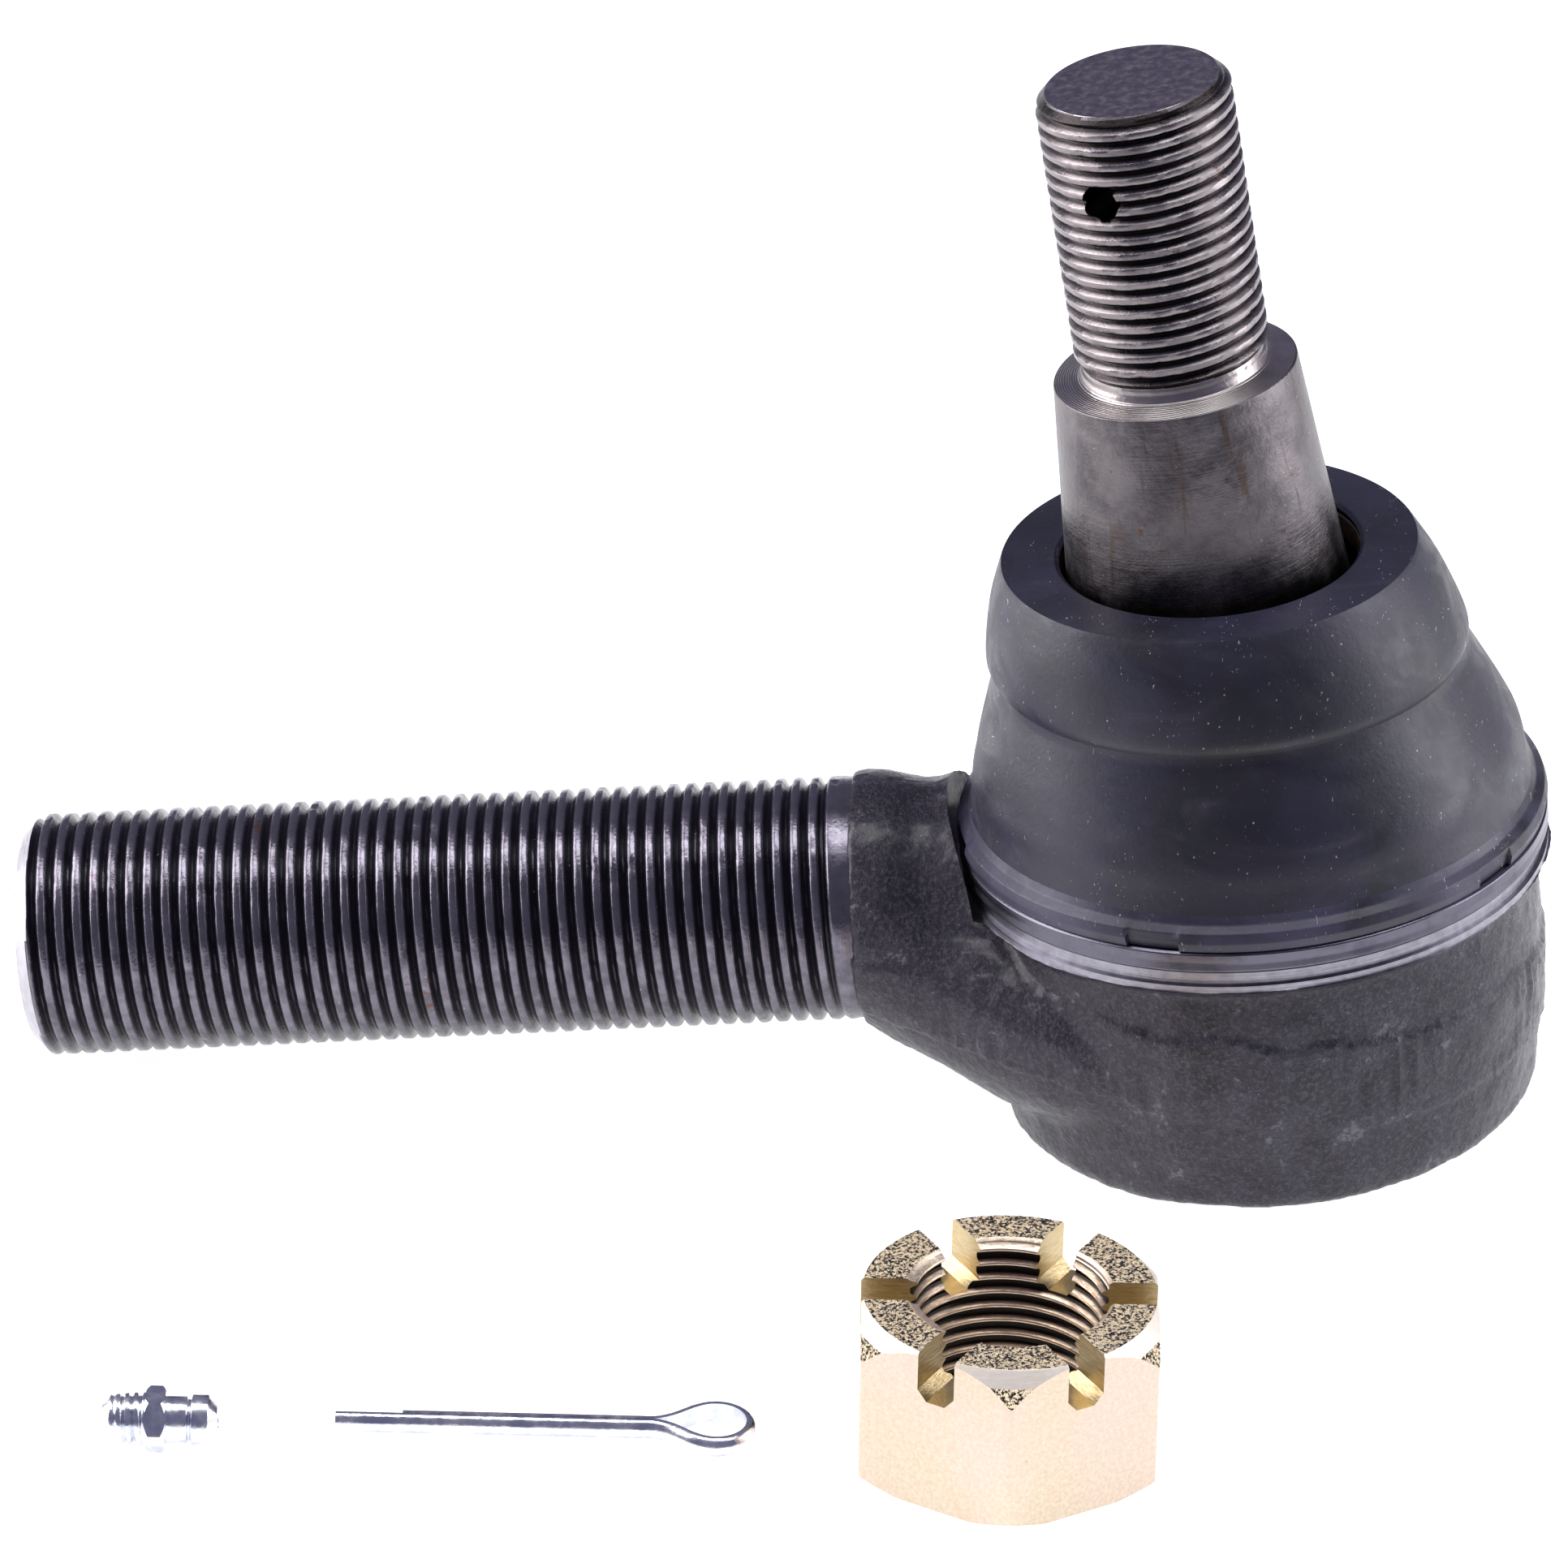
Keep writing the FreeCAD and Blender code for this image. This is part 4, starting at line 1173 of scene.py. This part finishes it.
def pin_path():
    """The pin's flat inner side: along the far leg, round the eye, and back along the near leg."""
    seam = 0.02
    centre = Vector((EYE_REACH - EYE_R, 0, 0))
    start = Vector((-1.2, seam, 0))
    towards = start - centre
    touch = math.atan2(towards.y, towards.x) - math.acos(EYE_R / towards.length)
    straight = [Vector((-PIN_SHORT + (start.x + PIN_SHORT) * k / 24, seam, 0)) for k in range(24)]
    upper = centre + polar(1, touch) * EYE_R
    flare = [(1.0, seam + 0.85), (upper.x - 0.8, upper.y - 0.45)]
    side = [(-2.6, seam), (start.x + 0.3, seam + 0.05), *flare]
    path = [spot for spot in straight if spot.x < side[0][0] - 0.4]
    path += [Vector((x, y, 0)) for x, y in curve_through(side, 5)]
    path += [centre + polar(1, touch * (1 - k / 20)) * EYE_R for k in range(20)]
    mirrored = [Vector((spot.x, -spot.y, 0)) for spot in reversed(path)]
    tail = [Vector((-PIN_SHORT - (PIN_LONG - PIN_SHORT) * k / 6, -seam, 0)) for k in range(1, 7)]
    return path + [centre + Vector((EYE_R, 0, 0))] + mirrored + tail


def make_pin():
    """Half-round wire swept along the path, its flat side inwards and its ends sheared."""
    path = pin_path()
    section = [(0.0, -PIN_R * 0.93)]
    for step in range(1, 16):
        angle = -math.pi / 2 + math.pi * step / 16
        section.append((PIN_R * math.cos(angle) ** 0.9, PIN_R * math.sin(angle)))
    section += [(0.0, PIN_R * 0.93), (0.0, PIN_R * 0.45), (0.0, -PIN_R * 0.45)]
    mesh = bmesh.new()
    rings = []
    for i, spot in enumerate(path):
        before, after = path[max(i - 1, 0)], path[min(i + 1, len(path) - 1)]
        along = (after - before).normalized()
        outward = Vector((0, 0, 1)).cross(along)
        ring = []
        for out, up in section:
            ring.append(mesh.verts.new((spot + outward * out + Vector((0, 0, up))) * MM))
        rings.append(ring)
    add_tube(mesh, rings)
    pin = to_object(mesh, "cotter_pin_detail")
    paint(pin, bright_zinc())
    low, high = (Vector(corner) for corner in OPENINGS["cotter_eye"])
    eye = (low + high) / 2
    turn = Matrix.Rotation(PIN_TURN, 4, "Z")
    start = Vector((eye.x, eye.y, 0)) - turn @ Vector(((EYE_REACH - EYE_R) * MM, 0, 0))
    place = Matrix.Translation((start.x, start.y, BENCH + PIN_R * MM)) @ turn
    put(pin, place, "pin", ["cotter_pin"])


# ---- grease fitting

FITTING_TURN = math.radians(3)
FITTING_LENGTH = 12.7
FITTING_HEX = 6.4


def make_fitting():
    radius, depth = 3.0, FITTING_PITCH * ROLLED_DEPTH
    angles = even_angles(72)
    thread_end = 4.8
    hex_end = 7.0
    bore = 1.3
    mesh = bmesh.new()

    def limit(z):
        taper = radius - 0.35 * smoothstep(thread_end, 0.0, z) - max(0.0, 0.9 - z)
        share = smoothstep(thread_end, thread_end - 0.8, z) if 0.05 < z < thread_end else 0.0
        return taper, share

    add_thread(mesh, radius, FITTING_PITCH, depth, 0.01, thread_end, limit, angles)
    head = outline([
        (radius, thread_end), (2.65, thread_end + 0.1), (2.65, 9.35, 0.15), (2.35, 9.5, 0.05),
        (2.35, 9.7, 0.05), (2.89, 9.9, 0.12), (2.89, 11.7, 0.25), (1.75, FITTING_LENGTH, 0.2),
        (0.95, FITTING_LENGTH, 0.1), (0.85, FITTING_LENGTH - 0.6), (bore, FITTING_LENGTH - 1.2),
        (bore, 0.01), (radius - 0.9, 0.01),
    ])
    head[-1] = (limit(0.01)[0], 0.01)
    add_rings(mesh, head, angles)
    body = to_object(mesh, "grease_fitting_detail")
    nut = prism("hexagon", hexagon(FITTING_HEX), thread_end, hex_end)
    rounded = [(3.3, thread_end), (3.72, thread_end + 0.45), (3.72, hex_end - 0.45), (3.3, hex_end)]
    round_off = lathe("round_off", [(0, thread_end), *rounded, (0, hex_end)], 96)
    combine(nut, round_off, "INTERSECT")
    core_r, core_end = bore + 0.3, hex_end + 1
    core_line = [(0, thread_end - 1), (core_r, thread_end - 1), (core_r, core_end), (0, core_end)]
    core = lathe("core", core_line, 72)
    combine(nut, core, "DIFFERENCE")
    combine(body, nut, "UNION")
    paint(body, bright_zinc())
    low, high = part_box("grease_fitting")
    middle = (low + high) / 2
    along = polar(1, FITTING_TURN)
    side = Vector((0, 0, 1)).cross(along)
    start = Vector((middle.x, middle.y, BENCH + FITTING_HEX / 2 * MM)) - along * FITTING_LENGTH / 2 * MM
    place = facing(along, side, start)
    put(body, place, "fitting", ["grease_fitting"], sharp=40)


make_forging()
make_shank()
make_base_ring()
make_boot_rim()
make_boot_skin()
make_lip_ring()
make_stud()
make_cover()
make_snap_ring()
finish_inner_nodes()
make_nut()
make_pin()
make_fitting()


# ---- floor, light and camera


FLOOR_GAP = 0.0002
GLOW_ENDS = (-215.0, -115.0)  # the lit table fades out in front of the loose pieces
GLOW = 0.95
STUDIO_COLOR = (0.68, 0.66, 1.0)
STUDIO_STRENGTH = 0.26


def make_floor():
    """A pale matt floor that glows like a lit table, up to just in front of the pieces."""
    mesh = bmesh.new()
    bmesh.ops.create_grid(mesh, x_segments=2, y_segments=2, size=3.0)
    floor = to_object(mesh, "floor")
    floor.location = (0, 0, BENCH - FLOOR_GAP)
    made = Finish("floor_white", (0.5, 0.5, 0.51), 0.0, 0.9)
    parts = made.add("ShaderNodeSeparateXYZ", made.mm.outputs[0])
    near_edge = made.span(parts.outputs["Y"], *GLOW_ENDS)
    made.plug("Emission Strength", made.math("MULTIPLY", near_edge, GLOW))
    made.set("Emission Color", (1.0, 1.0, 1.0, 1))
    paint(floor, made.material)


def area_light(name, where, towards, size, power, color=(1, 1, 1)):
    data = bpy.data.lights.new(name, "AREA")
    data.shape = "RECTANGLE"
    data.size, data.size_y = size
    data.energy = power
    data.color = color
    light = add_object(name, data)
    light.matrix_world = facing(Vector(where) - Vector(towards), (0, 0, 1), where)


def make_light():
    world = bpy.data.worlds.new("studio")
    world.use_nodes = True
    background = world.node_tree.nodes["Background"].inputs
    background["Color"].default_value = (*STUDIO_COLOR, 1)
    background["Strength"].default_value = STUDIO_STRENGTH
    bpy.context.scene.world = world
    middle = (-0.04, -0.02, 0.02)
    area_light("top_box", (-0.05, -0.02, 0.9), middle, (0.9, 0.28), 5)
    area_light("left_box", (-0.75, 0.05, 0.3), middle, (0.8, 0.5), 8, (1.0, 0.97, 0.98))
    area_light("right_box", (0.75, 0.05, 0.3), middle, (0.8, 0.5), 6, (0.98, 0.97, 1.0))


CAMERA_AZIMUTH = math.radians(3.572)
CAMERA_ELEVATION = math.radians(28.117)
CAMERA_ROLL = math.radians(1.06)
CAMERA_DISTANCE = 0.9952
CAMERA_TARGET = (-0.05628, 0.00122, 0.01473)
CAMERA_LENS = 195.65


def make_camera():
    data = bpy.data.cameras.new("camera")
    data.sensor_width = 36.0
    data.lens = CAMERA_LENS
    flat, rise = math.cos(CAMERA_ELEVATION), math.sin(CAMERA_ELEVATION)
    back = Vector((math.sin(CAMERA_AZIMUTH) * flat, -math.cos(CAMERA_AZIMUTH) * flat, rise))
    level = facing(back, Vector((0, 0, 1)).cross(back), Vector(CAMERA_TARGET) + back * CAMERA_DISTANCE)
    camera = add_object("camera", data)
    camera.matrix_world = level @ Matrix.Rotation(CAMERA_ROLL, 4, "Z")
    bpy.context.scene.camera = camera


make_floor()
make_light()
make_camera()
bpy.context.scene.view_settings.view_transform = "Standard"
